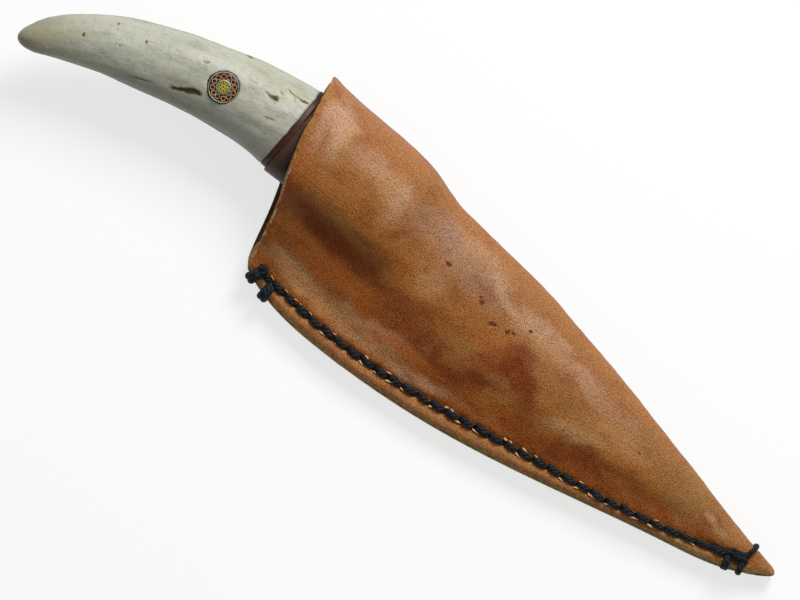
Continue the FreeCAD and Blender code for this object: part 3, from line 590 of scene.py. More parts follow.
def makeLeather():
    piece = copyOfNode("sheath_leather", "pouchLeather", leather["voxel"], leather["softRounds"])
    points = readPoints(piece)
    normals = readNormals(piece)
    height = points[:, 2]
    across = acrossPouch(points)
    inside = (normals[:, 2] > 0.2) & (height < leather["between"])
    inside |= (normals[:, 2] < -0.2) & (height > leather["between"])
    front = np.clip((height - leather["frontFrom"]) / leather["frontOver"], 0, 1)
    lift = leather["wave"] * waves(points, 3, leather["waveSize"])
    lift += leather["ripple"] * waves(points, 5, leather["rippleSize"])
    offset = normals * (lift * np.clip(height / leather["flatOver"], 0, 1))[:, None]
    for x, y, wide, high, turn, depth in leatherRelief:
        offset[:, 2] += depth * mm * softOval(points, x, y, wide, high, turn) * front
    edge = nearness(points, cutFaces("sheath_leather"), leather["cutReach"])
    offset[:, 0] += mouthSlant(points, normals)
    offset += edgeSlant(points, normals)
    drawn = np.clip((points[:, 0] - leather["tipFrom"]) / leather["tipOver"], 0, 1)
    offset[:, 0] += leather["tipReach"] * drawn
    flatPoints = points * np.array([1, 1, 0])
    flatHoles = np.pad(stitchHoles(), ((0, 0), (0, 1)))
    tight = nearness(flatPoints, flatHoles, leather["stitchOver"])
    offset[:, 2] -= leather["stitchDip"] * tight ** 2 * front
    points = points + offset
    points[:, 2] = np.maximum(points[:, 2], leather["floorGap"])
    writePoints(piece, points)
    writeAttribute(piece, "cutEdge", edge)
    writeAttribute(piece, "across", across)
    # how far the surface turns from straight up, used for painted shade
    writeAttribute(piece, "rimShade", np.clip((0.5 - normals[:, 2]) / 0.5, 0, 1))
    # the inner faces, which get painted shade
    writeAttribute(piece, "fleshShade", inside.astype(float))
    writeAttribute(piece, "nib", np.zeros(len(points)))
    addNibs(piece)
    return piece


def wandering(shader, scale, reach):
    # object coordinates pushed about by noise, for ragged outlines
    drift = shader.node("TexNoise", {"Vector": shader.coordinates, "Scale": scale, "Detail": 4})
    offset = shader.node("VectorMath", {
        0: drift.outputs["Color"], 1: (-0.5, -0.5, -0.5)}, operation="ADD").outputs[0]
    return shader.node("VectorMath", {
        0: offset, 1: (reach, reach, 0.0), 2: shader.coordinates}, operation="MULTIPLY_ADD").outputs[0]


def dyedLeather(shader):
    # tan dye from seam to fold, with burnished and rubbed patches, painted highlights, painted shade in the
    # crease below the ferrule bulge, and a few stains
    broad = shader.noise(45, 4, 0.6)
    blotch = shader.noise(130, 4, 0.65)
    across = shader.math("ADD", shader.attribute("across"), shader.ramp(broad, 0.25, 0.75, -0.16, 0.16))
    colour = shader.mix(shader.ramp(across, 0.12, 0.42), leatherColours["low"], leatherColours["mid"])
    colour = shader.mix(shader.ramp(across, 0.45, 0.85), colour, leatherColours["fold"])
    colour = shader.mix(shader.ramp(shader.attribute("across"), -0.03, 0.04), leatherColours["strip"], colour)
    moved = wandering(shader, 60, 11 * mm)
    cloud = shader.ramp(shader.noise(110, 5, 0.62, distortion=0.5), 0.25, 0.75, -0.3, 0.3)
    # the patches include painted highlights (sheen, greyish and bright sheen, most pale ones) and painted
    # shade in the crease
    for x, y, wide, high, turn, name, strength in leatherPatches:
        mask = shader.spot(x, y, wide * 1.3, high * 1.3, turn, z=12, deep=0.03, where=moved)
        if name == "burnishAndShade":
            mask = shader.math("ADD", mask, shader.math("MULTIPLY", cloud, shader.ramp(mask, 0.0, 0.4)))
        colour = shader.mix(shader.ramp(mask, 0.05, 0.85, 0, strength), colour, leatherColours[name])
    colour = shader.mix(shader.ramp(blotch, 0.5, 0.75, 0, 0.4), colour, leatherColours["strip"])
    colour = shader.mix(shader.ramp(blotch, 0.5, 0.25, 0, 0.4), colour, leatherColours["burnishAndShade"])
    rubbed = shader.noise(150, 5, 0.65, stretch=(0.35, 1.6, 1), distortion=0.3)
    rubbed = shader.math("MULTIPLY", shader.ramp(rubbed, 0.48, 0.3, 0, 0.5), shader.ramp(across, 0.7, 0.4))
    colour = shader.mix(rubbed, colour, leatherColours["burnishAndShade"])
    ragged = wandering(shader, 900, 1.2 * mm)
    for x, y, wide, high in leatherStains:
        mask = shader.spot(x, y, wide, high, z=12, deep=0.02, soft=0.5, where=ragged)
        colour = shader.mix(shader.math("MULTIPLY", mask, 0.9), colour, leatherColours["stain"])
    return colour


def leatherGrain(shader):
    # pores and creases of the grain side, 0 to about 1.5
    cells = shader.node("TexVoronoi", {
        "Vector": shader.coordinates, "Scale": 3100, "Randomness": 1.0}, feature="F1").outputs["Distance"]
    return shader.math("ADD", cells, shader.math("MULTIPLY", shader.noise(4200, 3, 0.7), 0.6))


def cutLeather(shader, colour):
    # raw edges, ochre at the mouth and olive along the seam, with a frayed line on the mouth's lower half
    place = shader.node("SeparateXYZ", {"Vector": shader.coordinates}).outputs
    nearMouth = shader.ramp(place["X"], -33 * mm, -37 * mm)
    alongSeam = shader.mix(shader.noise(500, 3), leatherColours["oliveEdge"], leatherColours["paleEdge"])
    atMouth = shader.mix(shader.noise(380, 3), leatherColours["mouth"], leatherColours["paleMouth"])
    edgeColour = shader.mix(nearMouth, alongSeam, atMouth)
    cut = shader.math("ADD", shader.attribute("cutEdge"), shader.math("MULTIPLY", nearMouth, 0.14))
    tufts = shader.ramp(shader.noise(900, 3), 0.42, 0.56, 0, 0.8)
    frayed = shader.math("MULTIPLY", shader.ramp(cut, 0.4, 0.54), tufts)
    frayed = shader.math("MULTIPLY", frayed, shader.ramp(place["Y"], 8 * mm, 2 * mm))
    frayed = shader.math("MULTIPLY", frayed, nearMouth)
    colour = shader.mix(frayed, colour, leatherColours["frayed"])
    return shader.mix(shader.ramp(cut, 0.58, 0.82), colour, edgeColour)


def leatherMaterial():
    shader = Shader("tannedLeather")
    colour = dyedLeather(shader)
    grain = leatherGrain(shader)
    colour = shader.mix(shader.ramp(grain, 0.6, 1.05, 0, 0.52), colour, leatherColours["grain"], "MULTIPLY")
    colour = shader.mix(shader.ramp(grain, 0.64, 0.35, 0, 0.32), colour, leatherColours["pale"])
    # painted shade: on the fold half, surfaces turning away from straight up darken to the burnish colour
    rimShade = shader.math("MULTIPLY", shader.ramp(shader.attribute("rimShade"), 0.2, 0.9), 0.5)
    rimShade = shader.math("MULTIPLY", rimShade, shader.ramp(shader.attribute("across"), 0.3, 0.8))
    colour = shader.mix(rimShade, colour, leatherColours["burnishAndShade"])
    colour = cutLeather(shader, colour)
    # painted shade on the pouch's inner faces
    fleshShade = shader.mix(shader.noise(700, 4), leatherColours["fleshShade"], leatherColours["paleFleshShade"])
    colour = shader.mix(shader.ramp(shader.attribute("fleshShade"), 0.3, 0.8), colour, fleshShade)
    colour = shader.mix(shader.attribute("nib"), colour, leatherColours["nib"])
    normal = shader.bump(shader.math("SUBTRACT", 1.0, grain), 0.17 * mm, 0.85)
    normal = shader.bump(shader.noise(520, 3, 0.6), 0.2 * mm, 0.45, below=normal)
    worn = shader.ramp(shader.noise(90, 3), 0.3, 0.7, -0.06, 0.08)
    rough = shader.math("ADD", worn, shader.ramp(shader.attribute("across"), 0.3, 0.8, 0.68, 0.44))
    return shader.set(Base_Color=colour, Roughness=rough, Normal=normal, Specular_IOR_Level=0.18)


thread = {
    "stitches": 34,
    "plies": 3,
    "plyRadius": 0.43 * mm,
    "plyOffset": 0.41 * mm,
    "twistLength": 3.6 * mm,
    "frontLow": 5.3 * mm,
    "frontRise": 1.9 * mm,
    "backLow": 1.9 * mm,
    "backRise": -0.85 * mm,
    "sideways": 0.42 * mm,
    "overrun": 0.3 * mm,
    "backSize": 0.8,
    "gatherFrom": 84 * mm,  # from here to gatherTo the stitches run together, with fatter ends
    "gatherTo": 94 * mm,
    "endThin": 0.36,
    "endFat": 0.9,
    "lockTop": 7.55 * mm,
    "lockLow": 1.2 * mm,
    "dark": srgb(7, 11, 15),
    "light": srgb(30, 46, 58),
}


def twistedPlies(path, phase=0.0, spread=1.0):
    # strands wound round a path, closer together where spread is small
    path = np.asarray(path)
    tangent = np.gradient(path, axis=0)
    tangent /= np.linalg.norm(tangent, axis=1)[:, None]
    side = np.cross(tangent, np.array([0.0, 0.0, 1.0]))
    steep = np.linalg.norm(side, axis=1) < 0.25
    side[steep] = np.array([1.0, 0.0, 0.0])
    side /= np.linalg.norm(side, axis=1)[:, None]
    other = np.cross(side, tangent)
    run = np.concatenate([[0], np.cumsum(np.linalg.norm(np.diff(path, axis=0), axis=1))])
    turn = phase + run / thread["twistLength"] * 2 * math.pi
    plies = []
    for start in np.arange(thread["plies"]) * 2 * math.pi / thread["plies"]:
        around = np.cos(turn + start)[:, None] * side + np.sin(turn + start)[:, None] * other
        plies.append(path + around * thread["plyOffset"] * np.reshape(spread, (-1, 1)))
    return plies


def threadPiece(name, strands):
    # strands: pairs of a path and its thickness along the way
    data = bpy.data.curves.new(name, "CURVE")
    data.dimensions = "3D"
    data.bevel_depth = thread["plyRadius"]
    data.bevel_resolution = 2
    data.use_fill_caps = True
    for path, thickness in strands:
        spline = data.splines.new("POLY")
        spline.points.add(len(path) - 1)
        for index, (point, place) in enumerate(zip(spline.points, path)):
            point.co = (*place, 1)
            point.radius = thickness[index] if np.ndim(thickness) else thickness
    piece = bpy.data.objects.new(name, data)
    bpy.context.collection.objects.link(piece)
    pickOnly(piece)
    bpy.ops.object.convert(target="MESH")
    piece = bpy.context.object
    smoothAll(piece)
    return piece


def stitchStrands(start, end, low, rise, seed, size=1.0):
    # one stitch: fat in the middle, thin where it dives into its holes, a little askew
    draw = np.random.default_rng(seed)
    along = (end - start) / np.linalg.norm(end - start)
    side = np.array([-along[1], along[0]])
    gathered = [thread["gatherFrom"], thread["gatherTo"]]
    thin = np.interp(start[0], gathered, [thread["endThin"], thread["endFat"]])
    reach = thread["overrun"] * draw.uniform(0.6, 1.3) * (1 + 3 * (thin - thread["endThin"]))
    askew = thread["sideways"] * draw.uniform(0.4, 1.5) * (1.3 - thin)
    wobble = draw.normal(0, 0.1 * mm)
    fat = size * draw.uniform(0.86, 1.16) * np.interp(start[0], [70 * mm, 98 * mm], [1.0, 0.88])
    first = start - along * reach
    last = end + along * reach
    path = []
    thickness = []
    for step in np.linspace(0, 1, 17):
        bulge = 1 - abs(2 * step ** 0.85 - 1) ** 2.4
        plan = first + (last - first) * step + side * (askew * (1 - 2 * step) + wobble * bulge)
        path.append((plan[0], plan[1], low + rise * max(bulge, 1.2 * thin - 0.43)))
        thickness.append(fat * (thin + (1.02 - thin) * bulge))
    plies = twistedPlies(path, phase=draw.uniform(0, 2 * math.pi), spread=thickness)
    return [(ply, thickness) for ply in plies]


def makeSeam():
    holes = stitchHoles()
    strands = []
    for index in range(thread["stitches"]):
        start, end = holes[index], holes[index + 1]
        strands += stitchStrands(start, end, thread["frontLow"], thread["frontRise"], 100 + index)
        strands += stitchStrands(
            start, end, thread["backLow"], thread["backRise"], 200 + index, thread["backSize"])
    return threadPiece("seamStitches", strands)


def threadMaterial():
    shader = Shader("waxedThread")
    fibre = shader.noise(3200, 3, 0.7)
    colour = shader.mix(shader.ramp(fibre, 0.4, 0.8), thread["dark"], thread["light"])
    normal = shader.bump(fibre, 0.1 * mm, 0.9)
    return shader.set(Base_Color=colour, Roughness=0.6, Normal=normal, Specular_IOR_Level=0.22)


# turns over the edge: start on the seam, end outside the edge, in plan
lockTurns = {
    "mouthLockTurns": [
        ((-31.2, -22.0), (-32.5, -24.9), 1.2), ((-30.4, -22.2), (-31.4, -25.3), 1.2),
        ((-26.9, -23.0), (-27.1, -26.8), 1.15), ((-26.1, -23.2), (-26.0, -26.9), 1.15)],
    "tipLockTurns": [
        ((104.3, -1.1), (105.5, -4.4), 0.8), ((104.9, -0.9), (106.2, -4.2), 0.75),
        ((108.3, 0.2), (109.4, -3.0), 0.9), ((108.2, 0.6), (108.8, 4.9), 0.85)],
}


def turnPath(start, end):
    start = np.array(start) * mm
    end = np.array(end) * mm
    top = thread["lockTop"]
    low = thread["lockLow"]
    inner = start * 0.7 + end * 0.3
    outer = start * 0.15 + end * 0.85
    over = [(*start, top - 1.2 * mm), (*inner, top + 0.1 * mm), (*outer, top), (*end, top - 1.0 * mm)]
    under = [(*end, low + 0.8 * mm), (*outer, low), (*inner, low), (*start, low + 0.9 * mm)]
    return naturalSpline(over + [(*end, 4 * mm)] + under, 40)


# strands laid over the seam to bind the turns: x, y, z along the way
lockTangles = {
    "mouthLockTurns": [
        [(-31.6, -21.2, 7.2), (-30.6, -20.9, 7.9), (-29.7, -21.6, 8.0), (-30.4, -22.3, 7.9),
         (-31.4, -22.0, 7.7), (-31.0, -21.2, 8.2), (-29.9, -21.2, 7.6)]],
    "tipLockTurns": [
        [(103.4, -1.3, 6.9), (104.9, -0.4, 7.6), (106.6, 0.9, 7.9), (108.0, 1.6, 7.8), (108.6, 2.6, 7.4)],
        [(103.9, -0.5, 6.9), (105.4, -0.3, 7.9), (107.1, 0.0, 8.3), (108.6, 0.7, 7.9), (109.2, 0.0, 7.4)],
        [(104.6, 0.1, 7.0), (106.0, 0.6, 8.3), (107.3, -0.5, 7.6), (108.4, -0.2, 7.6)]],
}


def makeLock(name, node):
    strands = []
    for index, (start, end, fat) in enumerate(lockTurns[name]):
        path = turnPath(start, end)
        strands += [(ply, fat) for ply in twistedPlies(path, phase=1.3 * index, spread=fat)]
    for index, corners in enumerate(lockTangles[name]):
        path = naturalSpline([np.array(corner) * mm for corner in corners], 30)
        strands += [(ply, 0.85) for ply in twistedPlies(path, phase=0.8 * index, spread=0.85)]
    piece = threadPiece(name, strands)
    paint(piece, waxedThread)
    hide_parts(node)
    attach(piece, "sheath")
    return piece


pouch = makeLeather()
paint(pouch, leatherMaterial())
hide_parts("sheath_leather")
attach(pouch, "sheath")
print("leather", len(pouch.data.polygons))

weltStrip = {
    "voxel": 0.45 * mm,
    "softRounds": 4,
    "dark": srgb(118, 98, 48),
    "light": srgb(186, 158, 92),
}


def weltMaterial():
    shader = Shader("weltEdge")
    fibre = shader.noise(900, 4, 0.65, stretch=(1, 1, 3))
    colour = shader.mix(shader.ramp(fibre, 0.3, 0.7), weltStrip["dark"], weltStrip["light"])
    normal = shader.bump(fibre, 0.15 * mm, 0.6)
    return shader.set(Base_Color=colour, Roughness=0.62, Normal=normal)


welt = copyOfNode("welt", "weltStrip", weltStrip["voxel"], weltStrip["softRounds"])
paint(welt, weltMaterial())
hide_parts("welt")
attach(welt, "sheath")
print("welt", len(welt.data.polygons))

waxedThread = threadMaterial()
seam = makeSeam()
paint(seam, waxedThread)
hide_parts("seam_thread")
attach(seam, "sheath")
print("seam", len(seam.data.polygons))

makeLock("mouthLockTurns", "mouth_lock_thread")
makeLock("tipLockTurns", "tip_lock_thread")
print("locks")

# the tine: the bow it follows, its waves and pebbling, and how far its tip is bent
antler = {
    "voxel": 0.34 * mm,
    "softRounds": 6,
    "arcCentre": (-19.0, -138.0),
    "arcRadius": 150 * mm,
    "wave": 0.10 * mm,
    "pebble": 0.02 * mm,
    "ridgeStretch": (0.22, 1.0, 1.0),  # below 1: drawn out along the tine
    "ridgeSize": 5 * mm,
    "waveSize": 14 * mm,
    "pebbleStretch": (0.6, 1.0, 1.0),
    "pebbleSize": 1.7 * mm,
    "markRough": 0.2,
    "markSize": 1.1 * mm,
    "tipFrom": -96 * mm,
    "tipOver": 18 * mm,
    "tipShift": (0.7, -0.25),
}

# pits, cracks and bruises on the upper side: x, y, half length, half width, turn, depth, colour, strength
antlerMarks = [
    (-76.2, -0.8, 1.7, 0.42, 24, 0.16, "dark", 0.95),
    (-74.4, 0.2, 2.2, 0.5, 30, 0.24, "dark", 1.0),
    (-72.6, 1.3, 1.7, 0.78, 26, 0.3, "dark", 1.0),
    (-71.2, 1.9, 1.5, 0.6, 10, 0.2, "dark", 1.0),
    (-68.9, 3.0, 1.0, 0.35, 20, 0.05, "amber", 0.7),
    (-77.6, -1.1, 0.7, 0.25, 10, 0.10, "amber", 0.8),
    (-55.9, 13.1, 1.6, 0.42, 4, 0.16, "dark", 0.85),
    (-55.3, 13.4, 0.8, 0.6, 30, 0.10, "dark", 0.7),
    (-56.2, 12.7, 1.9, 0.3, -8, 0.06, "olive", 0.7),
    (-57.6, 13.0, 1.1, 0.3, 0, 0.10, "olive", 0.8),
    (-55.1, 15.3, 0.8, 0.25, -10, 0.08, "olive", 0.8),
    (-53.0, 17.0, 1.7, 0.2, -6, 0.14, "rust", 0.9),
    (-49.4, 17.3, 1.6, 0.26, 8, 0.16, "dark", 0.85),
    (-50.6, 17.1, 1.4, 0.22, 0, 0.12, "rust", 0.9),
    (-51.6, 16.3, 1.0, 0.14, -35, 0.10, "rust", 0.8),
    (-53.4, 8.5, 1.8, 0.26, 22, 0.12, "rust", 0.7),
    (-51.9, 4.9, 0.7, 0.22, 20, 0.05, "olive", 0.5),
    (-74.4, 9.2, 1.2, 0.26, 26, 0.14, "rust", 0.85),
    (-81.6, 6.7, 0.9, 0.24, 14, 0.10, "amber", 0.8),
    (-102.1, -5.2, 0.3, 0.5, 10, 0.15, "dark", 0.9),
    (-97.3, 2.4, 0.3, 0.3, 0, 0.12, "dark", 0.8),
    (-89.1, 3.5, 0.4, 0.35, 20, 0.12, "dark", 0.7),
    (-88.8, 4.2, 0.5, 0.2, 60, 0.05, "amber", 0.7),
    (-93.4, -1.5, 0.3, 0.25, 0, 0.08, "olive", 0.7),
    (-83.9, -4.4, 3.4, 0.2, 23, 0.10, "olive", 0.8),
    (-67.2, 17.2, 1.2, 0.16, 12, 0.10, "dark", 0.7),
    (-62.8, 16.4, 2.4, 0.3, 4, 0.04, "amber", 0.6),
    (-63.0, 4.6, 1.8, 0.3, 14, 0.04, "amber", 0.5),
    (-62.4, 13.0, 1.4, 0.22, 8, 0.05, "rust", 0.5),
    (-61.0, -2.0, 4.0, 0.25, 5, 0.05, "olive", 0.35),
    (-92.5, 8.6, 4.6, 0.3, 27, 0.05, "amber", 0.6),
    (-106.0, -9.0, 3.0, 1.6, 50, 0.03, "amber", 0.25),
]

antlerColours = {
    "bone": srgb(158, 159, 143),
    "white": srgb(172, 173, 159),
    # grey of the mottle and pebbling, also the painted shade on the lower side
    "mottleAndShade": srgb(118, 119, 102),
    "tip": srgb(112, 109, 78),
    "dark": srgb(56, 43, 14),
    "amber": srgb(158, 142, 94),
    "olive": srgb(96, 90, 54),
    "rust": srgb(98, 86, 52),
    "halo": srgb(168, 158, 118),
}


def straightened(points):
    # along, across and through the tine, as if it were straight
    outward = points[:, :2] - np.array(antler["arcCentre"]) * mm
    radius = np.linalg.norm(outward, axis=1)
    angle = np.arctan2(outward[:, 0], outward[:, 1])
    return np.stack([angle * antler["arcRadius"], radius - antler["arcRadius"], points[:, 2]], axis=1)


def makeAntler():
    piece = copyOfNode("antler_handle", "antlerHandle", antler["voxel"], antler["softRounds"])
    points = readPoints(piece)
    normals = readNormals(piece)
    straight = straightened(points)
    ridged = straight * np.array(antler["ridgeStretch"])
    pebbled = straight * np.array(antler["pebbleStretch"])
    lift = antler["wave"] * waves(ridged, 11, antler["ridgeSize"], 18) * 0.7
    lift += antler["wave"] * waves(straight, 12, antler["waveSize"])
    lift += antler["pebble"] * waves(pebbled, 14, antler["pebbleSize"], 20)
    upper = np.clip(normals[:, 2] * 3, 0, 1)
    rough = 1 + antler["markRough"] * waves(points, 13, antler["markSize"])
    for x, y, wide, high, turn, depth, _, _ in antlerMarks:
        lift -= depth * mm * softOval(points, x, y, wide, high, turn) * upper * rough
    moved = points + normals * lift[:, None]
    bent = np.clip((antler["tipFrom"] - points[:, 0]) / antler["tipOver"], 0, 1)
    moved[:, :2] += bent[:, None] * np.array(antler["tipShift"]) * mm
    writePoints(piece, moved)
    writeAttribute(piece, "straight", straight)
    # how far the surface turns from straight up, used for painted shade
    writeAttribute(piece, "rimShade", np.clip((0.55 - normals[:, 2]) / 0.55, 0, 1))
    return piece


def antlerMaterial():
    shader = Shader("polishedAntler")
    along = shader.attribute("straight", "Vector")
    parts = shader.node("SeparateXYZ", {"Vector": along}).outputs
    broad = shader.noise(45, 4, 0.6, where=along, stretch=(0.5, 1, 1))
    streak = shader.noise(420, 5, 0.65, where=along, stretch=(0.12, 1, 1))
    fleck = shader.noise(1500, 3, 0.7, where=along, stretch=(0.10, 1, 1))
    colour = shader.mix(shader.ramp(broad, 0.3, 0.7), antlerColours["bone"], antlerColours["white"])
    # painted shade: the lower side of the tine darker, more so towards its far end
    lowerSideShade = shader.ramp(parts["Y"], 3 * mm, -8 * mm)
    lowerSideShade = shader.math("MULTIPLY", lowerSideShade, shader.ramp(parts["X"], -40 * mm, -75 * mm, 0.2, 0.95))
    colour = shader.mix(lowerSideShade, colour, antlerColours["mottleAndShade"])
    tip = shader.ramp(parts["X"], -80 * mm, -108 * mm)
    colour = shader.mix(shader.math("MULTIPLY", tip, 0.9), colour, antlerColours["tip"])
    colour = shader.mix(shader.ramp(streak, 0.54, 0.75, 0, 0.55), colour, antlerColours["amber"])
    mottle = shader.noise(240, 4, 0.6, where=along, stretch=(0.5, 1, 1))
    colour = shader.mix(shader.ramp(mottle, 0.52, 0.3, 0, 0.45), colour, antlerColours["mottleAndShade"])
    pebble = shader.noise(1000, 4, 0.7, where=along, stretch=(0.75, 1, 1))
    colour = shader.mix(shader.ramp(pebble, 0.5, 0.3, 0, 0.4), colour, antlerColours["mottleAndShade"])
    colour = shader.mix(shader.ramp(pebble, 0.58, 0.72, 0, 0.45), colour, antlerColours["amber"])
    # painted shade: the sides and lower edge darken to olive where the surface turns from straight up
    rimShade = shader.math("MULTIPLY", shader.ramp(shader.attribute("rimShade"), 0.2, 1.0), 0.6)
    colour = shader.mix(rimShade, colour, antlerColours["olive"])
    colour = shader.mix(shader.ramp(fleck, 0.6, 0.74, 0, 0.5), colour, antlerColours["olive"])
    farEnd = shader.ramp(parts["X"], -84 * mm, -104 * mm)
    farEnd = shader.math("MULTIPLY", farEnd, shader.ramp(mottle, 0.45, 0.65, 0, 0.5))
    colour = shader.mix(farEnd, colour, antlerColours["amber"])
    pits = 0.0
    ragged = wandering(shader, 900, 0.8 * mm)
    for x, y, wide, high, turn, _, name, strength in antlerMarks:
        if name in ("dark", "rust"):  # a warm stain about each pit
            halo = shader.spot(x, y, wide * 1.8, high * 2.4 + 0.3, turn, z=20, deep=0.02, where=ragged)
            colour = shader.mix(shader.math("MULTIPLY", halo, 0.55 * strength), colour, antlerColours["halo"])
    for x, y, wide, high, turn, _, name, strength in antlerMarks:
        mask = shader.spot(x, y, wide * 1.25, high * 1.5, turn, z=20, deep=0.02, soft=0.55, where=ragged)
        colour = shader.mix(shader.math("MULTIPLY", mask, strength), colour, antlerColours[name])
        if name == "dark":
            pits = shader.math("MAXIMUM", pits, mask)
    normal = shader.bump(streak, 0.15 * mm, 0.4)
    normal = shader.bump(pebble, 0.24 * mm, 0.7, below=normal)
    normal = shader.bump(fleck, 0.06 * mm, 0.4, below=normal)
    rough = shader.ramp(pits, 0.0, 0.5, 0.42, 0.95)
    return shader.set(Base_Color=colour, Roughness=rough, Normal=normal, Specular_IOR_Level=0.35)


tine = makeAntler()
paint(tine, antlerMaterial())
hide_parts("antler_handle")
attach(tine, "knife")
print("antler", len(tine.data.polygons))

woodBlock = {
    "voxel": 0.36 * mm,
    "softRounds": 3,
    "dark": srgb(30, 18, 14),
    "light": srgb(74, 50, 40),
    "pores": srgb(16, 10, 8),
}
redPlate = {
    "voxel": 0.22 * mm,
    "softRounds": 3,
    "dark": srgb(50, 26, 18),
    "light": srgb(86, 50, 34),
}


def woodMaterial():
    shader = Shader("darkWood")
    wide = shader.noise(160, 4, 0.6, stretch=(1, 0.22, 0.5), distortion=0.6)
    fine = shader.noise(900, 4, 0.7, stretch=(1, 0.12, 0.4))
    colour = shader.mix(shader.ramp(wide, 0.35, 0.65), woodBlock["dark"], woodBlock["light"])
    colour = shader.mix(shader.ramp(fine, 0.55, 0.7, 0, 0.6), colour, woodBlock["pores"])
    normal = shader.bump(fine, 0.08 * mm, 0.5)
    return shader.set(Base_Color=colour, Roughness=0.42, Normal=normal, Specular_IOR_Level=0.25)


def spacerMaterial():
    shader = Shader("redSpacer")
    layer = shader.noise(700, 4, 0.6, stretch=(1, 0.2, 0.3))
    colour = shader.mix(shader.ramp(layer, 0.35, 0.65), redPlate["dark"], redPlate["light"])
    normal = shader.bump(layer, 0.1 * mm, 0.6)
    return shader.set(Base_Color=colour, Roughness=0.5, Normal=normal, Specular_IOR_Level=0.25)


ferrule = copyOfNode("ferrule", "woodFerrule", woodBlock["voxel"], woodBlock["softRounds"])
paint(ferrule, woodMaterial())
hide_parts("ferrule")
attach(ferrule, "knife")

spacer = copyOfNode("handle_spacer", "spacerPlate", redPlate["voxel"], redPlate["softRounds"])
paint(spacer, spacerMaterial())
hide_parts("handle_spacer")
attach(spacer, "knife")
print("ferrule and spacer")

# the mosaic pin in millimetres: where its middle is, then its sizes
pin = {
    "centre": (-67.6, 7.1, 13.88),
    "half": 8.5,
    "dome": 0.55,
    "outer": 3.97,
    "outerBore": 3.56,
    "middle": 1.95,
    "middleBore": 1.5,
    "ringPitch": 2.75,
    "ringTube": 0.64,
    "ringBore": 0.49,
    "ringCount": 12,
    "corePitch": 0.97,
    "coreTube": 0.45,
    "coreBore": 0.22,
    "coreCount": 6,
    "rimDrop": 0.08,
    "rimSoft": 0.17,
    "tubeRise": 0.03,
    "plugDip": 0.06,
    "resinDip": 0.14,
    "overlap": 0.02,
}

pinColours = {
    "silver": srgb(220, 220, 212),
    "greySilver": srgb(110, 108, 100),
    # painted shadow of the gap round the pin
    "gapShadow": srgb(44, 42, 38),
    "dullSilver": srgb(150, 160, 138),
    "greenSilver": srgb(86, 98, 72),
    "copper": srgb(240, 208, 150),
    "redCopper": srgb(186, 126, 76),
    "brass": srgb(236, 216, 96),
    "oldBrass": srgb(196, 172, 62),
    "redResin": srgb(56, 16, 28),
    "brownPlug": srgb(58, 26, 14),
    "oliveResin": srgb(104, 100, 34),
    "blackPlug": srgb(24, 16, 10),
}


def domeHeight(radius):
    # height of the polished face at a distance from the pin's axis, in millimetres
    return pin["half"] + pin["dome"] * (1 - (radius / pin["outer"]) ** 2)


def turnedPiece(name, profile, segments=48):
    # closed ring swept from a profile of radius and height, both in millimetres
    bpy.ops.mesh.primitive_circle_add(vertices=segments, radius=profile[0][0] * mm, location=(0, 0, 0))
    piece = bpy.context.object
    piece.name = name
    bpy.ops.object.mode_set(mode="EDIT")
    bpy.ops.mesh.select_all(action="SELECT")
    bpy.ops.transform.translate(value=(0, 0, profile[0][1] * mm))
    for before, after in zip(profile, profile[1:] + profile[:1]):
        step = (0, 0, (after[1] - before[1]) * mm)
        bpy.ops.mesh.extrude_region_move(TRANSFORM_OT_translate={"value": step})
        grow = after[0] / before[0]
        bpy.ops.transform.resize(value=(grow, grow, 1), center_override=(0, 0, after[1] * mm))
    bpy.ops.mesh.select_all(action="SELECT")
    bpy.ops.mesh.remove_doubles(threshold=0.001 * mm)
    bpy.ops.mesh.normals_make_consistent(inside=False)
    bpy.ops.object.mode_set(mode="OBJECT")
    smoothShade(piece, 35)
    return piece


def mirrored(top):
    # the upper half of a cross-section with its lower half
    return top + [(radius, -height) for radius, height in reversed(top)]


def ringProfile(inner, outer, rimDrop=0.0, soft=0.12):
    # cross-section of a tube with softened rims, domed at both ends
    outerTop = domeHeight(outer) - rimDrop
    innerTop = domeHeight(inner)
    return mirrored([
        (outer, domeHeight(outer) - soft - rimDrop), (outer - soft, outerTop),
        (inner + soft, innerTop), (inner, innerTop - soft)])


def discProfile(inner, outer, lowered):
    # resin between two radii: its faces follow the dome in a few steps
    return mirrored([(radius, domeHeight(radius) - lowered) for radius in np.linspace(outer, inner, 6)])


def copiesAt(model, places, reach):
    # copies of a model made for this distance from the axis, each raised to the dome's height
    copies = []
    for x, y in places:
        raised = domeHeight(math.hypot(x, y)) - domeHeight(reach)
        piece = copyPiece(model)
        piece.data.transform(Matrix.Translation((x * mm, y * mm, raised * mm)))
        copies.append(piece)
    bpy.data.objects.remove(model)
    return copies


def addPlugs(resin, places, bore):
    # resin inside the fine tubes, a little lower than their rims: one plug, copied
    model = turnedPiece("plug", discProfile(pin["overlap"], bore + pin["overlap"], pin["plugDip"]), 16)
    writeAttribute(model, "plug", np.ones(len(model.data.vertices)))
    writeAttribute(resin, "plug", np.zeros(len(resin.data.vertices)))
    joinInto(resin, copiesAt(model, places, 0))


def placeAtPin(pieces):
    seat = Matrix.Translation(Vector(pin["centre"]) * mm) @ Matrix.Rotation(knifeTilt, 4, "Y")
    for piece in pieces:
        piece.data.transform(seat)
        piece.data.update()


def tubePlaces(pitch, count, middle):
    # centres of the fine tubes, set by hand and so not quite even
    draw = np.random.default_rng(4)
    places = []
    for index in range(count):
        angle = math.radians(360 / count * index + 7 + draw.uniform(-2.5, 2.5))
        reach = pitch + draw.uniform(-0.04, 0.04)
        places.append((reach * math.cos(angle), reach * math.sin(angle)))
    return places + [(0.0, 0.0)] if middle else places


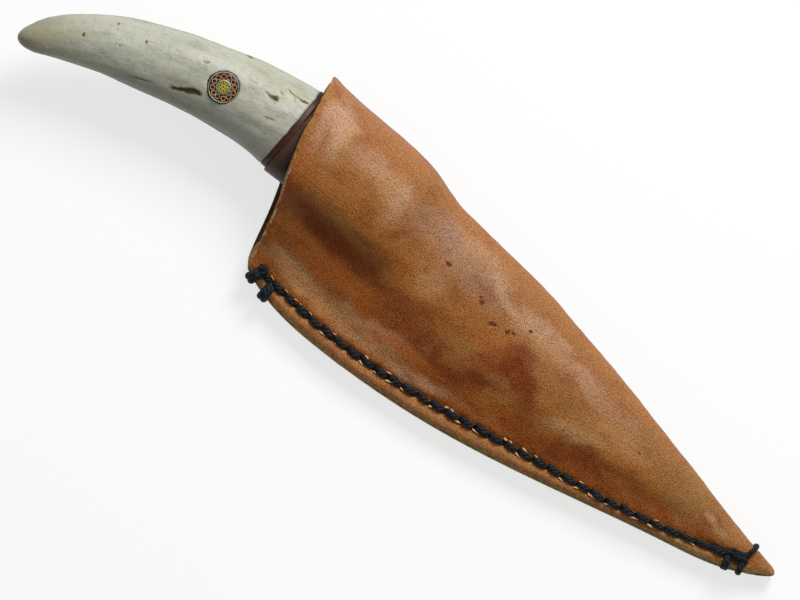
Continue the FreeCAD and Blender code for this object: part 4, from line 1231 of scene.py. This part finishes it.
def smallTubes(name, places, tube, bore):
    # one fine tube, copied to each place
    pitch = math.hypot(*places[0])
    height = domeHeight(pitch) + pin["tubeRise"]
    soft = 0.3 * (tube - bore)
    profile = mirrored([
        (tube, height - soft), (tube - soft, height), (bore + soft, height), (bore, height - soft)])
    tubes = copiesAt(turnedPiece(name, profile, 20), places, pitch)
    joinInto(tubes[0], tubes[1:])
    tubes[0].name = name
    return tubes[0]


def metalMaterial(name, colour, darker, rough, gapShadowed=False):
    shader = Shader(name)
    worn = shader.noise(1300, 4, 0.6)
    mixed = shader.mix(shader.ramp(worn, 0.4, 0.75), pinColours[colour], pinColours[darker])
    # painted shadow on the ring's outer edge
    if gapShadowed:
        mixed = shader.mix(shader.attribute("gapShadow"), mixed, pinColours["gapShadow"])
    normal = shader.bump(worn, 0.02 * mm, 0.5)
    return shader.set(Base_Color=mixed, Metallic=0.85, Roughness=rough, Normal=normal)


def resinMaterial(name, bodyColour, plugColour):
    # dyed resin between the tubes and another shade inside them
    shader = Shader(name)
    cloud = shader.ramp(shader.noise(1400, 3, 0.6), 0.3, 0.7, 0.65, 1.25)
    colour = shader.mix(shader.attribute("plug"), pinColours[bodyColour], pinColours[plugColour])
    shaded = shader.node("VectorMath", {0: colour, "Scale": cloud}, operation="SCALE").outputs[0]
    return shader.set(Base_Color=shaded, Roughness=0.3, Specular_IOR_Level=0.22)


outerRing = turnedPiece(
    "pinOuterRing", ringProfile(pin["outerBore"], pin["outer"], pin["rimDrop"], pin["rimSoft"]), 96)
middleRing = turnedPiece("pinMiddleRing", ringProfile(pin["middleBore"], pin["middle"]), 64)
ringPlaces = tubePlaces(pin["ringPitch"], pin["ringCount"], False)
corePlaces = tubePlaces(pin["corePitch"], pin["coreCount"], True)
ringTubes = smallTubes("pinRingTubes", ringPlaces, pin["ringTube"], pin["ringBore"])
coreTubes = smallTubes("pinCoreTubes", corePlaces, pin["coreTube"], pin["coreBore"])
ringResin = turnedPiece("pinRingResin", discProfile(
    pin["middle"] - pin["overlap"], pin["outerBore"] + pin["overlap"], pin["resinDip"]), 96)
coreResin = turnedPiece("pinCoreResin", discProfile(
    pin["overlap"], pin["middleBore"] + pin["overlap"], pin["resinDip"]), 64)
addPlugs(ringResin, ringPlaces, pin["ringBore"])
addPlugs(coreResin, corePlaces, pin["coreBore"])
ringPoints = readPoints(outerRing)
ringReach = np.hypot(ringPoints[:, 0], ringPoints[:, 1])
# painted shadow of the gap round the pin: the ring's outer wall and bevel go dark
writeAttribute(outerRing, "gapShadow", ringReach > (pin["outer"] - 0.03) * mm)
placeAtPin([outerRing, middleRing, ringTubes, coreTubes, ringResin, coreResin])
pinParts = [
    (outerRing, "pin_outer_tube", "pin_silver",
     metalMaterial("pinSilver", "silver", "greySilver", 0.34, gapShadowed=True)),
    (middleRing, "pin_middle_tube", "pin_silver",
     metalMaterial("pinPaleSilver", "dullSilver", "greenSilver", 0.66)),
    (ringTubes, "pin_ring_tubes", "pin_copper", metalMaterial("pinCopper", "copper", "redCopper", 0.45)),
    (coreTubes, "pin_core_tubes", "pin_brass", metalMaterial("pinBrass", "brass", "oldBrass", 0.42)),
    (ringResin, "pin_ring_resin", "resin_red", resinMaterial("pinDarkResin", "redResin", "brownPlug")),
    (coreResin, "pin_core_resin", "resin_yellow",
     resinMaterial("pinOliveResin", "oliveResin", "blackPlug")),
]
for made, node, slotName, material in pinParts:
    paint(made, material)
    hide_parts(node)
    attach(made, "knife")
print("pin")

hiddenColours = {
    "steel": srgb(150, 152, 156),
    "paleSteel": srgb(186, 188, 190),
    "glue": srgb(92, 72, 44),
    "paleGlue": srgb(128, 104, 66),
}


def steelMaterial():
    shader = Shader("groundSteel")
    lines = shader.noise(2600, 3, 0.6, stretch=(1, 0.03, 0.3))
    cloud = shader.noise(60, 3, 0.5)
    colour = shader.mix(shader.ramp(cloud, 0.3, 0.7), hiddenColours["steel"], hiddenColours["paleSteel"])
    normal = shader.bump(lines, 0.006 * mm, 0.3)
    rough = shader.ramp(lines, 0.3, 0.7, 0.33, 0.41)
    return shader.set(Base_Color=colour, Metallic=1.0, Roughness=rough, Normal=normal)


def glueMaterial():
    shader = Shader("hardGlue")
    cloud = shader.noise(500, 3, 0.6)
    colour = shader.mix(cloud, hiddenColours["glue"], hiddenColours["paleGlue"])
    return shader.set(Base_Color=colour, Roughness=0.45)


paint(frame["nodes"]["blade"], steelMaterial())
paint(frame["nodes"]["tang_bedding"], glueMaterial())
print("blade and bedding")

# camera straight above, lamp and floor: angles in degrees, lengths in metres
room = {
    "lens": 288.0,
    "distance": 1.6,  # from the camera to aimHeight
    "aimHeight": 0.012,
    "middle": (0.45 * mm, -5.2 * mm),
    "turn": 40.0,
    "fill": 0.27,
    "key": 12.6,
    "lampAway": 1.0,
    "lampRise": 43.0,
    "lampTurn": 97.0,
    "lampSize": 0.42,
    "floorSize": 6,
    "floorGlow": 0.72,
    "floorColours": ((0.84, 0.84, 0.84), (0.86, 0.86, 0.86)),
}


def makeRoom():
    bpy.ops.mesh.primitive_plane_add(size=room["floorSize"], location=(0, 0, 0))
    floor = bpy.context.object
    floor.name = "floor"
    shader = Shader("paleFloor")
    colour = shader.mix(shader.noise(3, 2), *room["floorColours"])
    shader.set(Base_Color=colour, Roughness=0.9, Specular_IOR_Level=0.1)
    glow = shader.node("Emission", {"Color": (1, 1, 1, 1), "Strength": 1.0})
    rays = shader.node("LightPath").outputs
    seen = shader.math("MAXIMUM", rays["Is Camera Ray"], rays["Is Glossy Ray"])
    seen = shader.math("MAXIMUM", seen, rays["Is Transmission Ray"])
    share = shader.math("MULTIPLY", seen, room["floorGlow"])
    blend = shader.node("MixShader", {0: share, 1: shader.surface.outputs[0], 2: glow.outputs[0]})
    shader.tree.links.new(blend.outputs[0], shader.tree.nodes["Material Output"].inputs["Surface"])
    paint(floor, shader.material)
    world = bpy.data.worlds.new("softRoom")
    bpy.context.scene.world = world
    world.use_nodes = True
    background = world.node_tree.nodes["Background"]
    background.inputs["Color"].default_value = (1, 1, 1, 1)
    background.inputs["Strength"].default_value = room["fill"]


def addLamp(name, size, energy, place):
    data = bpy.data.lights.new(name, "AREA")
    data.size = size
    data.energy = energy
    lamp = bpy.data.objects.new(name, data)
    bpy.context.collection.objects.link(lamp)
    lamp.location = place
    lamp.rotation_euler = (-Vector(place)).to_track_quat("-Z", "Y").to_euler()


def makeLight():
    turn = math.radians(room["lampTurn"])
    rise = math.radians(room["lampRise"])
    level = room["lampAway"] * math.cos(rise)
    place = (level * math.cos(turn), level * math.sin(turn), room["lampAway"] * math.sin(rise))
    addLamp("keyLight", room["lampSize"], room["key"], place)


def makeCamera():
    data = bpy.data.cameras.new("camera")
    data.lens = room["lens"]
    data.clip_start = 0.01
    camera = bpy.data.objects.new("camera", data)
    bpy.context.collection.objects.link(camera)
    x, y = room["middle"]
    camera.location = (x, y, room["distance"] + room["aimHeight"])
    camera.rotation_euler = (0, 0, math.radians(room["turn"]))
    bpy.context.scene.camera = camera


makeRoom()
makeLight()
makeCamera()
bpy.context.scene.view_settings.view_transform = "Standard"
print("room, light and camera")
